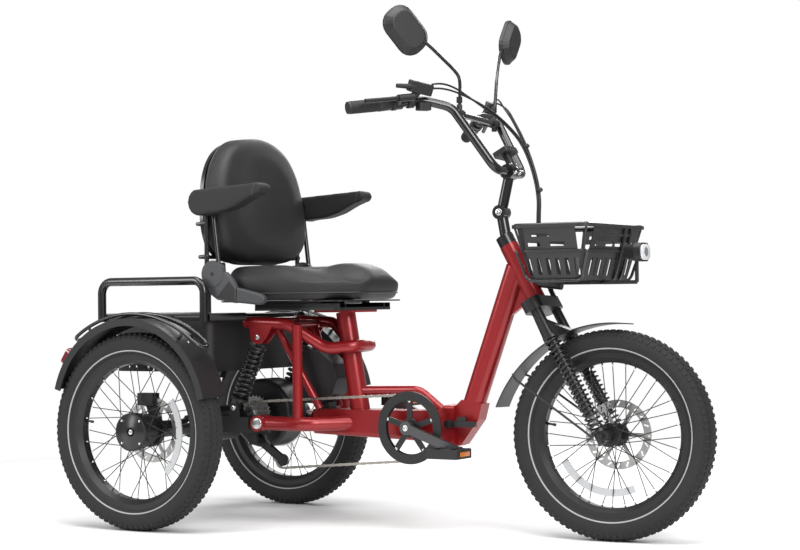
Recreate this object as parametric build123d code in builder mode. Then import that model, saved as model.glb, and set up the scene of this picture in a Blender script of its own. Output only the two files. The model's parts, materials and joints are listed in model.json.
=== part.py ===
from build123d import *
import os
from math import asin, atan2, cos, degrees, hypot, pi, radians, sin

# An electric tricycle, in millimetres: X forward, Y to the rider's left, Z up from the ground.
# The origin is on the ground below the middle of the whole vehicle.

# Stance
wheelbase = 1250.0
track = 745.0
rear_x = -614.0
front_x = rear_x + wheelbase
half_track = track / 2
wheel_r = 270.0
gap = 0.3
steer_rest = 4.0

# Wheels
tyre_w = 76.0
tyre_wall = 6.0
tyre_h = 58.0
rim_w = 50.0
rim_lip = 7.0
rim_depth = 19.0
rim_r = wheel_r - tyre_h
rim_bed_r = rim_r - rim_lip
rim_inner_r = rim_bed_r - rim_depth
spoke_d = 2.4
spoke_pairs = 9
axle_d = 12.0
rear_hub_out = 33.0
rear_hub_in = 62.0
rear_cap_r = 52.0
rear_drum_r = 40.0
shaft_r = 13.0
shaft_inner_y = 60.0
front_hub_r = 17.0
front_flange_r = 30.0
front_flange_y = 32.0
front_hub_half = 43.0
rotor_r = 90.0
rotor_t = 2.0
rotor_slots = 20
front_rotor_y = 39.0

# Steering: the axis leans back, and the axle stands in front of it
head_angle = 61.0
fork_offset = 18.0
head_lean = radians(head_angle)
foot_x = front_x - fork_offset * sin(head_lean)
foot_z = wheel_r - fork_offset * cos(head_lean)
steering_axis = Axis((foot_x, 0, foot_z), (-cos(head_lean), 0, sin(head_lean)))
head_low = 410.0
head_high = 574.0
head_tube_d = 50.0
leg_y = 66.0
leg_forward = 12.0
leg_d = 34.0
stanchion_d = 25.0
spring_d = 42.0
crown_low = 372.0
crown_high = 404.0
spring_low = 20.0
spring_high = 285.0
knuckle_up = 662.0
knuckle_forward = 24.0
clamp_up = 744.0
clamp_forward = 96.0
bar_d = 24.0
grip_d = 32.0
grip_length = 118.0

# Frame
beam_z = 283.0
beam_h = 74.0
beam_w = 72.0
beam_rear_x = rear_x + 352.0
hinge_x = front_x - 465.0
hinge_h = 110.0
hinge_w = 76.0
hinge_t = 18.0
hinge_z = 284.0
fold_y = 48.0
fold_pin_d = 8.0
knuckle_d = 18.0
column_d = 54.0
column_foot_x = rear_x + 492.0
column_top_x = rear_x + 440.0
loop_d = 33.0
loop_y = 120.0
strut_x = rear_x + 357.0
strut_d = 28.0
lower_d = 39.0
pivot_x = rear_x + 235.0
pivot_z = 283.0
downtube_w = 45.0
downtube_d = 60.0

# Drive
crank_x = hinge_x - 94.0
crank_z = 279.0
chain_y = -75.0
chain_pitch = 12.7
ring_teeth = 44
sprocket_teeth = 17
pulley_teeth = 11
ring_r = ring_teeth * chain_pitch / (2 * pi)
sprocket_r = sprocket_teeth * chain_pitch / (2 * pi)
pulley_r = pulley_teeth * chain_pitch / (2 * pi)
chain_h = 8.0
chain_t = 7.0
guard_r = 98.0
crank_length = 170.0
crank_turn = -20.0
crank_y = 96.0
pedal_gap = 5.0
motor_x = rear_x + 165.0
motor_z = 304.0
motor_r = 98.0
motor_w = 96.0
motor_y = 22.0
arm_y = 118.0
arm_h = 44.0
arm_t = 26.0

# Rear fenders: their middle lies above the axle; the rack, the loops and the seat stand at their top
fender_lift = 46.0
fender_room = 40.0
fender_r = wheel_r + fender_room - fender_lift
fender_z = wheel_r + fender_lift
fender_w = 100.0
fender_t = 3.0
fender_skirt = 20.0
fender_low = 11.0
fender_high = 165.0
rack_z = fender_z + fender_r
rack_hoop_h = 102.0
rail_top_z = rack_z + rack_hoop_h
rail_y = 250.0
rail_d = 24.0
loop_z = rack_z - 18
column_top_z = rack_z + 10
slide_z = column_top_z + 14
cushion_h = 98.0
back_lean = 5.0

os.makedirs("parts", exist_ok=True)


def steer_point(forward, side, up):
    """A place given forward of the steering axis, to the left of it and up along it."""
    return (
        foot_x + forward * sin(head_lean) - up * cos(head_lean),
        side,
        foot_z + forward * cos(head_lean) + up * sin(head_lean),
    )


def rod(start, end, diameter):
    """A straight round bar, added to the piece that is being built."""
    run = Vector(*end) - Vector(*start)
    with BuildSketch(Plane(Vector(*start), z_dir=run)) as section:
        Circle(diameter / 2)
    extrude(section.sketch, amount=run.length)


def bent_tube(points, radii, diameter):
    """A round tube along straight runs joined by arcs, added to the piece that is being built."""
    with BuildLine() as route:
        FilletPolyline(*points, radius=radii)
    with BuildSketch(Plane(route.line @ 0, z_dir=route.line % 0)) as section:
        Circle(diameter / 2)
    sweep(section.sketch, path=route.line)


def coil(low, high, outer_d, wire_d, turns):
    """A coil spring between two places, added to the piece that is being built."""
    run = Vector(*high) - Vector(*low)
    way = run.normalized()
    height = run.length - wire_d - 2 * gap
    with BuildLine() as winding:
        Helix(
            height / turns, height, (outer_d - wire_d) / 2, center=Vector(*low) + way * (wire_d / 2 + gap),
            direction=way,
        )
    with BuildSketch(Plane(winding.line @ 0, z_dir=winding.line % 0)) as wire:
        Circle(wire_d / 2)
    sweep(wire.sketch, path=winding.line, is_frenet=True)


def slab(plane, points, thickness, corner=0.0):
    """A flat plate of a straight-sided outline, half its thickness to each side of the plane."""
    with BuildSketch(plane) as outline:
        with BuildLine():
            Polyline(*points, close=True)
        make_face()
        if corner:
            fillet(outline.vertices(), corner)
    extrude(outline.sketch, amount=thickness / 2, both=True)


def finish(piece, name, turned=False):
    """Label a finished piece and write its file; what steers stands turned, as it is parked."""
    solid = piece.part
    if turned:
        solid = solid.rotate(steering_axis, steer_rest)
    solid.label = name
    export_step(solid, f"parts/{name}.step")


# Wheels: a section plane holds the axle's direction as its x and the radius as its y

def wheel_section(x, y):
    return Plane(origin=(x, y, wheel_r), x_dir=(0, 1, 0), z_dir=(1, 0, 0))


def make_tyre(name, x, y, turned):
    """Carcass and tread of one tyre, open to the rim."""
    shoulder_r = wheel_r - 8
    belly_r = (rim_r + wheel_r) / 2 - 2
    half = tyre_w / 2
    bead = rim_w / 2 - 3 - gap
    with BuildPart() as tyre:
        with BuildSketch(wheel_section(x, y)):
            with BuildLine():
                Line((-bead, rim_bed_r + gap), (-bead, rim_r + gap))
                Line((-bead, rim_r + gap), (-rim_w / 2, rim_r + gap))
                ThreePointArc((-rim_w / 2, rim_r + gap), (-half, belly_r), (-half + 7, shoulder_r))
                ThreePointArc((-half + 7, shoulder_r), (0, wheel_r), (half - 7, shoulder_r))
                ThreePointArc((half - 7, shoulder_r), (half, belly_r), (rim_w / 2, rim_r + gap))
                Line((rim_w / 2, rim_r + gap), (bead, rim_r + gap))
                Line((bead, rim_r + gap), (bead, rim_bed_r + gap))
                Line((bead, rim_bed_r + gap), (bead - tyre_wall, rim_bed_r + gap))
                Line((bead - tyre_wall, rim_bed_r + gap), (bead - tyre_wall, rim_r))
                ThreePointArc(
                    (bead - tyre_wall, rim_r), (half - tyre_wall, belly_r), (half - 16, shoulder_r - 4)
                )
                Line((half - 16, shoulder_r - 4), (-half + 16, shoulder_r - 4))
                ThreePointArc(
                    (-half + 16, shoulder_r - 4), (-half + tyre_wall, belly_r), (-bead + tyre_wall, rim_r)
                )
                Line((-bead + tyre_wall, rim_r), (-bead + tyre_wall, rim_bed_r + gap))
                Line((-bead + tyre_wall, rim_bed_r + gap), (-bead, rim_bed_r + gap))
            make_face()
        revolve(axis=Axis((x, y, wheel_r), (0, 1, 0)))
    finish(tyre, name, turned)


def make_rim(name, x, y, turned):
    """A double-walled rim with its two flanges."""
    half = rim_w / 2
    with BuildPart() as rim:
        with BuildSketch(wheel_section(x, y)):
            with BuildLine():
                Polyline(
                    (-half, rim_r), (-half + 3, rim_r), (-half + 3, rim_bed_r), (-9, rim_bed_r - 6),
                    (9, rim_bed_r - 6), (half - 3, rim_bed_r), (half - 3, rim_r), (half, rim_r),
                    (half, rim_bed_r - 7), (12, rim_inner_r), (-12, rim_inner_r), (-half, rim_bed_r - 7),
                    close=True,
                )
            make_face()
        revolve(axis=Axis((x, y, wheel_r), (0, 1, 0)))
    finish(rim, name, turned)


def wheel_place(x, y, radius, angle, side):
    """A place on a wheel: a radius at an angle from the front, and sideways from its middle."""
    return (x + radius * cos(radians(angle)), y + side, wheel_r + radius * sin(radians(angle)))


def lace_spokes(x, y, flange_r, flange_left, flange_right):
    """Crossed spokes from both flanges to the rim, which they stop just short of."""
    step = 360 / spoke_pairs
    for flange_y, rim_y, start in ((flange_left, 5, 0), (flange_right, -5, step / 4)):
        for number in range(spoke_pairs):
            for lean, shift in ((1, 0), (-1, step / 2)):
                at_hub = number * step + start + shift
                hub_end = wheel_place(x, y, flange_r, at_hub - 55 * lean, flange_y)
                rim_end = wheel_place(x, y, rim_inner_r - 1.0, at_hub, rim_y)
                rod(hub_end, rim_end, spoke_d)


def turned_stack(x, y, rings):
    """Discs on the axle, each from one side place to another with its radius."""
    for low, high, radius in rings:
        with BuildSketch(Plane(origin=(x, y + low, wheel_r), x_dir=(1, 0, 0), z_dir=(0, 1, 0))) as disc:
            Circle(radius)
        extrude(disc.sketch, amount=high - low)


def make_rear_wheel(side_name, y):
    """One rear wheel; outward is the side away from the frame."""
    outward = 1 if y > 0 else -1
    make_tyre(f"rear_{side_name}_tyre", rear_x, y, False)
    make_rim(f"rear_{side_name}_rim", rear_x, y, False)
    cap_in = rear_hub_out - 26
    with BuildPart() as hub:
        for first, second, radius in (
            (cap_in, rear_hub_out, rear_cap_r),
            (-rear_hub_in + 16, cap_in, rear_drum_r),
            (-rear_hub_in, -rear_hub_in + 16, rear_cap_r - 6),
            (-half_track + shaft_inner_y, -rear_hub_in, shaft_r),
        ):
            low, high = sorted((first * outward, second * outward))
            turned_stack(rear_x, y, ((low, high, radius),))
        with BuildSketch(Plane(origin=(rear_x, y + rear_hub_out * outward, wheel_r), x_dir=(1, 0, 0),
                               z_dir=(0, -outward, 0))):
            Circle(9)
        extrude(amount=12, mode=Mode.SUBTRACT)
        lace_spokes(rear_x, y, rear_cap_r - 8, 20 * outward if outward > 0 else rear_hub_in - 8,
                    20 * outward if outward < 0 else -rear_hub_in + 8)
    finish(hub, f"rear_{side_name}_hub")
    rotor_y = -(rear_hub_in + gap + rotor_t / 2) * outward
    make_rotor(f"rear_{side_name}_rotor", rear_x, y + rotor_y, shaft_r + gap, False)


def make_rotor(name, x, y, bore_r, turned):
    """A brake disc on its carrier."""
    with BuildPart() as rotor:
        with BuildSketch(Plane(origin=(x, y, wheel_r), x_dir=(1, 0, 0), z_dir=(0, 1, 0))):
            Circle(rotor_r)
            Circle(rotor_r - 20, mode=Mode.SUBTRACT)
            with PolarLocations(rotor_r - 10, rotor_slots):
                Rectangle(13, 4, rotation=35, mode=Mode.SUBTRACT)
            with PolarLocations(0, 6):
                with Locations((rotor_r / 2, 0)):
                    Rectangle(rotor_r - 18, 10)
            Circle(30)
            Circle(bore_r, mode=Mode.SUBTRACT)
        extrude(amount=rotor_t / 2, both=True)
    finish(rotor, name, turned)


make_rear_wheel("left", half_track)
make_rear_wheel("right", -half_track)

make_tyre("front_tyre", front_x, 0, True)
make_rim("front_rim", front_x, 0, True)
with BuildPart() as front_hub:
    turned_stack(front_x, 0, (
        (-front_hub_half, front_hub_half, front_hub_r),
        (front_flange_y - 2, front_flange_y + 2, front_flange_r),
        (-front_flange_y - 2, -front_flange_y + 2, front_flange_r),
    ))
    lace_spokes(front_x, 0, front_flange_r - 4, front_flange_y, -front_flange_y)
    with BuildSketch(Plane(origin=(front_x, 0, wheel_r), x_dir=(1, 0, 0), z_dir=(0, 1, 0))):
        Circle(axle_d / 2 + gap)
    extrude(amount=front_hub_half + 5, both=True, mode=Mode.SUBTRACT)
finish(front_hub, "front_hub", turned=True)
make_rotor("front_rotor", front_x, front_rotor_y, front_hub_r + gap, True)

# Rear frame: the main beam, seat column, side loops, struts and the tubes to the pivot
hinge_rear_x = hinge_x - hinge_t
with BuildPart() as rear_frame:
    half_h = beam_h / 2
    with BuildSketch(Plane.XZ):
        with BuildLine():
            Polyline(
                (beam_rear_x, beam_z - half_h + 5), (hinge_rear_x, beam_z - half_h - 8),
                (hinge_rear_x, beam_z + half_h + 6), (hinge_rear_x - 90, beam_z + half_h + 2),
                (beam_rear_x, beam_z + half_h), close=True,
            )
        make_face()
    extrude(amount=beam_w / 2, both=True)
    fillet(rear_frame.edges().filter_by(Axis.Y, reverse=True).group_by(Axis.Z)[0], 12)
    rod((column_foot_x, 0, beam_z), (column_top_x, 0, column_top_z), column_d)
    # the two side loops are one tube that turns round in front of the column
    front_of_column = rear_x + 502
    bent_tube(
        [
            (rear_x + 186, -loop_y, loop_z + 3), (rear_x + 325, -loop_y, loop_z - 2),
            (rear_x + 420, -68, loop_z - 72), (front_of_column, -50, loop_z - 64),
            (front_of_column, 50, loop_z - 64), (rear_x + 420, 68, loop_z - 72),
            (rear_x + 325, loop_y, loop_z - 2), (rear_x + 186, loop_y, loop_z + 3),
        ],
        [55, 60, 44, 44, 60, 55], loop_d,
    )
    rod((rear_x + 200, -loop_y, loop_z), (rear_x + 200, loop_y, loop_z), 30)
    # the upper tube reaches from the column over the crank to the hinge
    bent_tube(
        [
            (column_foot_x - 6, 0, 372), (crank_x - 14, 0, 376),
            (hinge_rear_x - 6, 0, beam_z + 30),
        ],
        [60], 26,
    )
    for side in (-1, 1):
        rod((strut_x, loop_y * side, loop_z - 6), (strut_x, loop_y * side, pivot_z), strut_d)
        rod((rear_x + 268, 96 * side, loop_z - 4), (rear_x + 384, 50 * side, beam_z + 40), 22)
        bent_tube(
            [
                (pivot_x, loop_y * side, pivot_z), (rear_x + 385, loop_y * side, pivot_z),
                (rear_x + 470, 20 * side, pivot_z),
            ],
            [60], lower_d,
        )
        # shock bracket and the eye of the pivot
        slab(
            Plane.XZ.offset(-(loop_y - 2) * side),
            [
                (rear_x + 205, loop_z), (rear_x + 213, loop_z - 48), (rear_x + 228, loop_z - 58),
                (rear_x + 244, loop_z - 58), (rear_x + 262, loop_z - 40), (rear_x + 290, loop_z),
            ],
            36, 5,
        )
        rod((pivot_x, (loop_y - 22) * side, pivot_z), (pivot_x, (loop_y + 24) * side, pivot_z), 44)
    rod((rear_x + 272, -loop_y, loop_z - 4), (rear_x + 272, loop_y, loop_z - 4), 22)
    # seat plate on the column and the rear half of the hinge
    with BuildSketch(Plane.XY.offset(column_top_z)):
        with Locations((column_top_x, 0)):
            RectangleRounded(138, 130, 14)
    extrude(amount=6)
    with BuildSketch(Plane.YZ.offset(hinge_rear_x)):
        with Locations((0, hinge_z)):
            RectangleRounded(hinge_w, hinge_h, 10)
    extrude(amount=hinge_t - gap / 2)
    # two knuckles and the pin of the fold, on the left
    for low, high in ((hinge_z - 52, hinge_z - 22), (hinge_z + 22, hinge_z + 52)):
        rod((hinge_x, fold_y, low), (hinge_x, fold_y, high), knuckle_d)
        with BuildSketch(Plane.XY.offset(low)):
            with Locations((hinge_x - gap / 2 - 7, fold_y - 7)):
                Rectangle(14, 14)
        extrude(amount=high - low)
    rod((hinge_x, fold_y, hinge_z - 56), (hinge_x, fold_y, hinge_z + 56), fold_pin_d)
    # shell of the crank
    rod((crank_x, -46, crank_z), (crank_x, 46, crank_z), 46)
    # slots cut in the brackets for the shock's eye
    for side in (-1, 1):
        with BuildSketch(Plane.XZ.offset(-(loop_y - 2) * side)):
            with Locations((rear_x + 235, loop_z - 46)):
                Rectangle(90, 60)
        extrude(amount=13, both=True, mode=Mode.SUBTRACT)
    with BuildSketch(Plane.XZ.offset(60)):
        with Locations((crank_x, crank_z)):
            Circle(9 + gap)
    extrude(amount=-120, mode=Mode.SUBTRACT)
finish(rear_frame, "rear_frame")

# Swing arms with the axle housings, brake calipers and shock lugs
housing_end = half_track - rear_hub_in - 15.0
arm_mid_z = (pivot_z + wheel_r) / 2
with BuildPart() as swing_arm:
    for side in (-1, 1):
        with BuildSketch(Plane.XY.offset(arm_mid_z - arm_h / 2)):
            with BuildLine():
                Polyline(
                    (pivot_x + 5, 84 * side), (pivot_x + 5, (loop_y - 22.3) * side),
                    (pivot_x - 28, (loop_y - 22.3) * side), (pivot_x - 38, (arm_y + arm_t / 2) * side),
                    (rear_x - 26, (arm_y + arm_t / 2) * side), (rear_x - 26, (arm_y - arm_t / 2) * side),
                    (pivot_x - 46, (arm_y - arm_t / 2) * side), (pivot_x - 34, 84 * side), close=True,
                )
            make_face()
        extrude(amount=arm_h)
        rod((pivot_x, 84 * side, pivot_z), (pivot_x, (loop_y - 22.3) * side, pivot_z), 46)
        rod((rear_x, (arm_y - 20) * side, wheel_r), (rear_x, (arm_y + 20) * side, wheel_r), 66)
        rod((rear_x, arm_y * side, wheel_r), (rear_x, housing_end * side, wheel_r), 46)
        for lug_y in (arm_y - 11.5, arm_y + 11.5):
            slab(
                Plane.XZ.offset(-lug_y * side),
                [
                    (rear_x + 128, arm_mid_z), (rear_x + 136, 337), (rear_x + 162, 337),
                    (rear_x + 172, arm_mid_z),
                ],
                3,
            )
        # caliper over the disc, on a plate that stands on the housing
        slab(
            Plane.XZ.offset(-(housing_end - 4) * side),
            [
                (rear_x - 10, wheel_r), (rear_x + 20, wheel_r), (rear_x + 10, wheel_r + 88),
                (rear_x - 42, wheel_r + 88),
            ],
            8,
        )
        caliper_y = half_track - rear_hub_in - gap - rotor_t / 2
        with BuildSketch(Plane.XY.offset(wheel_r + rotor_r - 22)) as caliper:
            with Locations((rear_x - 16, (caliper_y - 2) * side)):
                Rectangle(54, 30)
        extrude(amount=34)
        with BuildSketch(Plane.XY.offset(wheel_r + rotor_r - 30)):
            with Locations((rear_x - 16, caliper_y * side)):
                Rectangle(60, 5)
        extrude(amount=36, mode=Mode.SUBTRACT)
        with BuildSketch(Plane.XZ.offset(-60 * side)):
            with Locations((rear_x, wheel_r)):
                Circle(shaft_r + gap)
        extrude(amount=-(half_track - 100) * side, mode=Mode.SUBTRACT)
finish(swing_arm, "swing_arm")

# Drive: motor, case on the rear axle, sprockets, chain and derailleur
with BuildPart() as motor:
    rod((motor_x, motor_y - motor_w / 2, motor_z), (motor_x, motor_y + motor_w / 2, motor_z), 2 * motor_r)
    fillet(motor.edges().filter_by(GeomType.CIRCLE), 12)
    rod((motor_x, -48, motor_z), (motor_x, motor_y + motor_w / 2 + 8, motor_z), 70)
    rod((motor_x, -arm_y + arm_t / 2 + gap, motor_z), (motor_x, arm_y - arm_t / 2 - gap, motor_z), 18)
finish(motor, "motor")

case_r = 50.0
with BuildPart() as drive_case:
    rod((rear_x, gap - shaft_inner_y, wheel_r), (rear_x, shaft_inner_y - gap, wheel_r), 2 * case_r)
    fillet(drive_case.edges().filter_by(GeomType.CIRCLE), 8)
finish(drive_case, "drive_case")

# sprockets: teeth and sideways place of each
sprockets = ((28, -50.0), (24, -55.0), (22, -60.0), (20, -65.0), (18, -70.0), (17, -75.0), (14, -80.0))
tooth_h = 5.0


def toothed_outline(centre, teeth):
    """Corners of a sprocket: tips and roots by turns, inside the chain that runs over it."""
    tip_r = teeth * chain_pitch / (2 * pi) - chain_h / 2 - gap
    corners = []
    for number in range(teeth):
        for share, radius in ((0.0, tip_r - tooth_h), (0.36, tip_r - tooth_h), (0.60, tip_r), (0.76, tip_r)):
            turn = 2 * pi * (number + share) / teeth
            corners.append((centre[0] + radius * cos(turn), centre[1] + radius * sin(turn)))
    return corners


with BuildPart() as cassette:
    for teeth, place in sprockets:
        with BuildSketch(Plane.XZ.offset(-place + 1)):
            with BuildLine():
                Polyline(*toothed_outline((motor_x, motor_z), teeth), close=True)
            make_face()
        extrude(amount=-2)
    rod((motor_x, -48 - gap, motor_z), (motor_x, -84, motor_z), 36)
    with BuildSketch(Plane.XZ.offset(90)):
        with Locations((motor_x, motor_z)):
            Circle(9 + gap)
    extrude(amount=-50, mode=Mode.SUBTRACT)
finish(cassette, "cassette")

# the chain's rounds: centre, and pitch radius, below 0 where it bends the other way
guide = (rear_x + 196, 232.0)
idler = (rear_x + 275, 178.0)
chain_rounds = (
    ((motor_x, motor_z), sprocket_r), (guide, -pulley_r), (idler, pulley_r), ((crank_x, crank_z), ring_r),
)


def tangent_heading(first, second):
    """Heading of the straight run from one round to the next, in radians."""
    (x1, z1), r1 = first
    (x2, z2), r2 = second
    reach = hypot(x2 - x1, z2 - z1)
    return atan2(z2 - z1, x2 - x1) + asin((r1 - r2) / reach)


def round_point(centre, radius, heading):
    """Where a run with that heading touches the round."""
    return (centre[0] + radius * sin(heading), centre[1] - radius * cos(heading))


def chain_outline(shift):
    """The chain's closed line, moved outward by the shift, added to the line being drawn."""
    count = len(chain_rounds)
    for number in range(count):
        before = chain_rounds[number - 1]
        here = chain_rounds[number]
        after = chain_rounds[(number + 1) % count]
        centre, radius = here
        radius += shift
        heading_in = tangent_heading(before, here)
        heading_out = tangent_heading(here, after)
        turn = (heading_out - heading_in) % (2 * pi)
        if radius < 0:
            turn -= 2 * pi
        middle = heading_in + turn / 2
        start = round_point(centre, radius, heading_in)
        end = round_point(centre, radius, heading_out)
        add(ThreePointArc(start, round_point(centre, radius, middle), end, mode=Mode.PRIVATE))
        next_centre, next_radius = after
        add(Line(end, round_point(next_centre, next_radius + shift, heading_out), mode=Mode.PRIVATE))


# inner links as one narrow band, and an outer link over every second pitch
band_h = 6.0
band_t = 4.6
with BuildLine() as chain_middle:
    chain_outline(0)
chain_loop = Wire(chain_middle.edges())
link_count = 2 * round(chain_loop.length / chain_pitch / 2)
with BuildPart() as chain:
    with BuildSketch(Plane.XZ.offset(-chain_y)):
        with BuildLine():
            chain_outline(band_h / 2)
        make_face()
        with BuildLine():
            chain_outline(-band_h / 2)
        make_face(mode=Mode.SUBTRACT)
    extrude(amount=band_t / 2, both=True)
    with BuildSketch(Plane.XZ.offset(-chain_y)):
        for number in range(0, link_count, 2):
            pin = chain_loop @ (number / link_count)
            next_pin = chain_loop @ ((number + 1) / link_count)
            lean = degrees(atan2(next_pin.Y - pin.Y, next_pin.X - pin.X))
            with Locations(Location(((pin.X + next_pin.X) / 2, (pin.Y + next_pin.Y) / 2), lean)):
                SlotCenterToCenter(chain_pitch - 3, chain_h - 0.6)
    extrude(amount=chain_t / 2, both=True)
finish(chain, "chain")

with BuildPart() as derailleur:
    for pulley in (guide, idler):
        with BuildSketch(Plane.XZ.offset(-chain_y)):
            with Locations(pulley):
                Circle(pulley_r * cos(pi / pulley_teeth) - chain_h / 2 - gap)
        extrude(amount=4, both=True)
    for plate_y in (chain_y - 5.5, chain_y + 5.5):
        with BuildSketch(Plane.XZ.offset(-plate_y)):
            with BuildLine():
                Line(guide, idler)
            trace(line_width=22)
            with Locations(guide, idler):
                Circle(14)
        extrude(amount=1, both=True)
    for pulley in (guide, idler):
        rod((pulley[0], chain_y - 8, pulley[1]), (pulley[0], chain_y + 8, pulley[1]), 7)
    # knuckle and hanger up to the swing arm
    rod((guide[0], chain_y - 6, guide[1]), (guide[0], -104, guide[1]), 22)
    slab(
        Plane.XZ.offset(arm_y - arm_t / 2 - 5),
        [
            (guide[0] - 14, guide[1] - 12), (guide[0] + 14, guide[1] - 12), (guide[0] + 8, arm_mid_z - 22 - gap),
            (guide[0] - 30, arm_mid_z - 22 - gap),
        ],
        10, 3,
    )
finish(derailleur, "derailleur")

# Cranks turn in the shell; the right one carries the chainring
crank_heading = radians(crank_turn)
crank_arm_t = 14.0


def crank_end(side):
    """The middle of a pedal's axle in side view; the two arms point opposite ways."""
    return (
        crank_x - side * crank_length * cos(crank_heading),
        crank_z - side * crank_length * sin(crank_heading),
    )


pedal_in = crank_y + crank_arm_t / 2 + pedal_gap
pedal_w = 88.0
with BuildPart() as cranks:
    rod((crank_x, -crank_y, crank_z), (crank_x, crank_y, crank_z), 18)
    for side in (-1, 1):
        end = crank_end(side)
        with BuildSketch(Plane.XZ.offset(-crank_y * side)) as arm:
            with BuildLine():
                Line((crank_x, crank_z), end)
            trace(line_width=24)
            with Locations((crank_x, crank_z)):
                Circle(18)
            with Locations(end):
                Circle(14)
        extrude(amount=crank_arm_t / 2, both=True)
        rod((crank_x, 62 * side, crank_z), (crank_x, crank_y * side, crank_z), 30)
        rod((end[0], crank_y * side, end[1]), (end[0], (pedal_in + pedal_w - 8) * side, end[1]), 10)
finish(cranks, "cranks")

with BuildPart() as chainring:
    with BuildSketch(Plane.XZ.offset(-chain_y - 1.5)):
        with Locations((crank_x, crank_z)):
            Circle(ring_r - chain_h / 2 - gap)
            Circle(ring_r - 18, mode=Mode.SUBTRACT)
    extrude(amount=3)
    with BuildSketch(Plane.XZ.offset(-chain_y + chain_t / 2 + 0.8)):
        with Locations((crank_x, crank_z)):
            Circle(guard_r)
            Circle(ring_r - 16, mode=Mode.SUBTRACT)
    extrude(amount=3)
    with BuildSketch(Plane.XZ.offset(-chain_y + 1.5)):
        with Locations((crank_x, crank_z)):
            Circle(26)
            with PolarLocations(0, 5, start_angle=90):
                with Locations(((ring_r - 12) / 2, 0)):
                    Rectangle(ring_r - 12, 16)
            Circle(15 + gap, mode=Mode.SUBTRACT)
    extrude(amount=chain_t / 2)
finish(chainring, "chainring")

for side, side_name in ((1, "left"), (-1, "right")):
    end = crank_end(side)
    with BuildPart() as pedal:
        with BuildSketch(Plane.XY.offset(end[1] - 12)):
            with Locations((end[0], (pedal_in + pedal_w / 2) * side)):
                RectangleRounded(96, pedal_w, 10)
                with GridLocations(52, 0, 2, 1):
                    RectangleRounded(30, pedal_w - 26, 5, mode=Mode.SUBTRACT)
        extrude(amount=24)
        with BuildSketch(Plane.XZ.offset(-(pedal_in - 1) * side)):
            with Locations(end):
                Circle(5 + gap)
        extrude(amount=-(pedal_w - 6) * side, mode=Mode.SUBTRACT)
    finish(pedal, f"pedal_{side_name}")

# Rear shocks: body between the bracket and the swing arm, with a coil spring round it
shock_top = (rear_x + 235, loop_z - 39)
shock_low = (rear_x + 149, 324.0)
shock_run = hypot(shock_top[0] - shock_low[0], shock_top[1] - shock_low[1])
shock_spring_d = 48.0


def shock_place(share, side):
    """A place along a shock, from its lower eye at 0 to its upper eye at 1."""
    return (
        shock_low[0] + (shock_top[0] - shock_low[0]) * share, arm_y * side,
        shock_low[1] + (shock_top[1] - shock_low[1]) * share,
    )


with BuildPart() as shock_bodies:
    for side in (-1, 1):
        rod(shock_place(0.05, side), shock_place(0.95, side), 18)
        rod(shock_place(0.12, side), shock_place(0.15, side), shock_spring_d + 2)
        rod(shock_place(0.85, side), shock_place(0.88, side), shock_spring_d + 2)
        rod(shock_place(0.55, side), shock_place(0.85, side), 28)
        for eye in (shock_low, shock_top):
            rod((eye[0], (arm_y - 9.5) * side, eye[1]), (eye[0], (arm_y + 9.5) * side, eye[1]), 22)
finish(shock_bodies, "shock_bodies")

with BuildPart() as shock_springs:
    for side in (-1, 1):
        coil(shock_place(0.15, side), shock_place(0.85, side), shock_spring_d, 7, 10)
finish(shock_springs, "shock_springs")

# Rear rack, storage bin and the two rear fenders
rack_rear_x = rear_x - 226
rack_front_x = rear_x + 136
frame_rear_x = rear_x + 200
bar_thin_d = 16.0
strap_z = fender_z + fender_r + gap
strap_t = 4.0
strap_reach = half_track + 20
rack_foot_z = rack_z - rail_d / 2
with BuildPart() as rack_hoops:
    for side in (-1, 1):
        bent_tube(
            [
                (rack_rear_x, rail_y * side, rack_foot_z), (rack_rear_x, rail_y * side, rail_top_z),
                (rack_front_x, rail_y * side, rail_top_z), (rack_front_x, rail_y * side, rack_foot_z),
            ],
            [34, 34], rail_d,
        )
finish(rack_hoops, "rack_hoops")

rail_side = rail_d / 2 + gap
side_bar_inset = 3.0
side_bar_y = rail_y - rail_side - bar_thin_d / 2 - side_bar_inset
with BuildPart() as rack:
    for side in (-1, 1):
        hoop_foot = Vector(rack_front_x, rail_y * side, rack_z)
        leg_end = Vector(rear_x + 196, (loop_y + 20) * side, rack_z)
        leg_way = (leg_end - hoop_foot).normalized()
        rod(tuple(hoop_foot + leg_way * rail_side), tuple(leg_end), rail_d)
    rod((rack_rear_x, -rail_y + rail_side, rack_z), (rack_rear_x, rail_y - rail_side, rack_z), rail_d)
    for place in (-90, 0, 90):
        rod((rack_rear_x, place, rack_z), (frame_rear_x - 22, place, rack_z), bar_thin_d)
    rod((frame_rear_x - 30, -loop_y - 26, rack_z), (frame_rear_x - 30, loop_y + 26, rack_z), 20)
    # side bars, and a flat cross strap that lies on the fenders
    for side in (-1, 1):
        rod((rack_rear_x, side_bar_y * side, rack_z), (rack_front_x + 16, side_bar_y * side, rack_z), bar_thin_d)
    with BuildSketch(Plane.XY.offset(strap_z)):
        with Locations((rear_x, 0)):
            Rectangle(36, 2 * strap_reach)
    extrude(amount=strap_t)
finish(rack, "rack")

bin_x = rear_x - 30
bin_length = 340.0
bin_w = 460.0
bin_t = 3.0
bin_h = 144.0
bin_floor_z = rack_z - bar_thin_d / 2 - bin_h
with BuildPart() as storage_bin:
    with BuildSketch(Plane.XY.offset(bin_floor_z)):
        with Locations((bin_x, 0)):
            RectangleRounded(bin_length, bin_w, 30)
    extrude(amount=rack_z - bar_thin_d / 2 - gap - bin_floor_z)
    with BuildSketch(Plane.XY.offset(bin_floor_z + bin_t)):
        with Locations((bin_x, 0)):
            RectangleRounded(bin_length - 2 * bin_t, bin_w - 2 * bin_t, 30 - bin_t)
    extrude(amount=rack_z - bin_floor_z, mode=Mode.SUBTRACT)
finish(storage_bin, "storage_bin")


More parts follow.
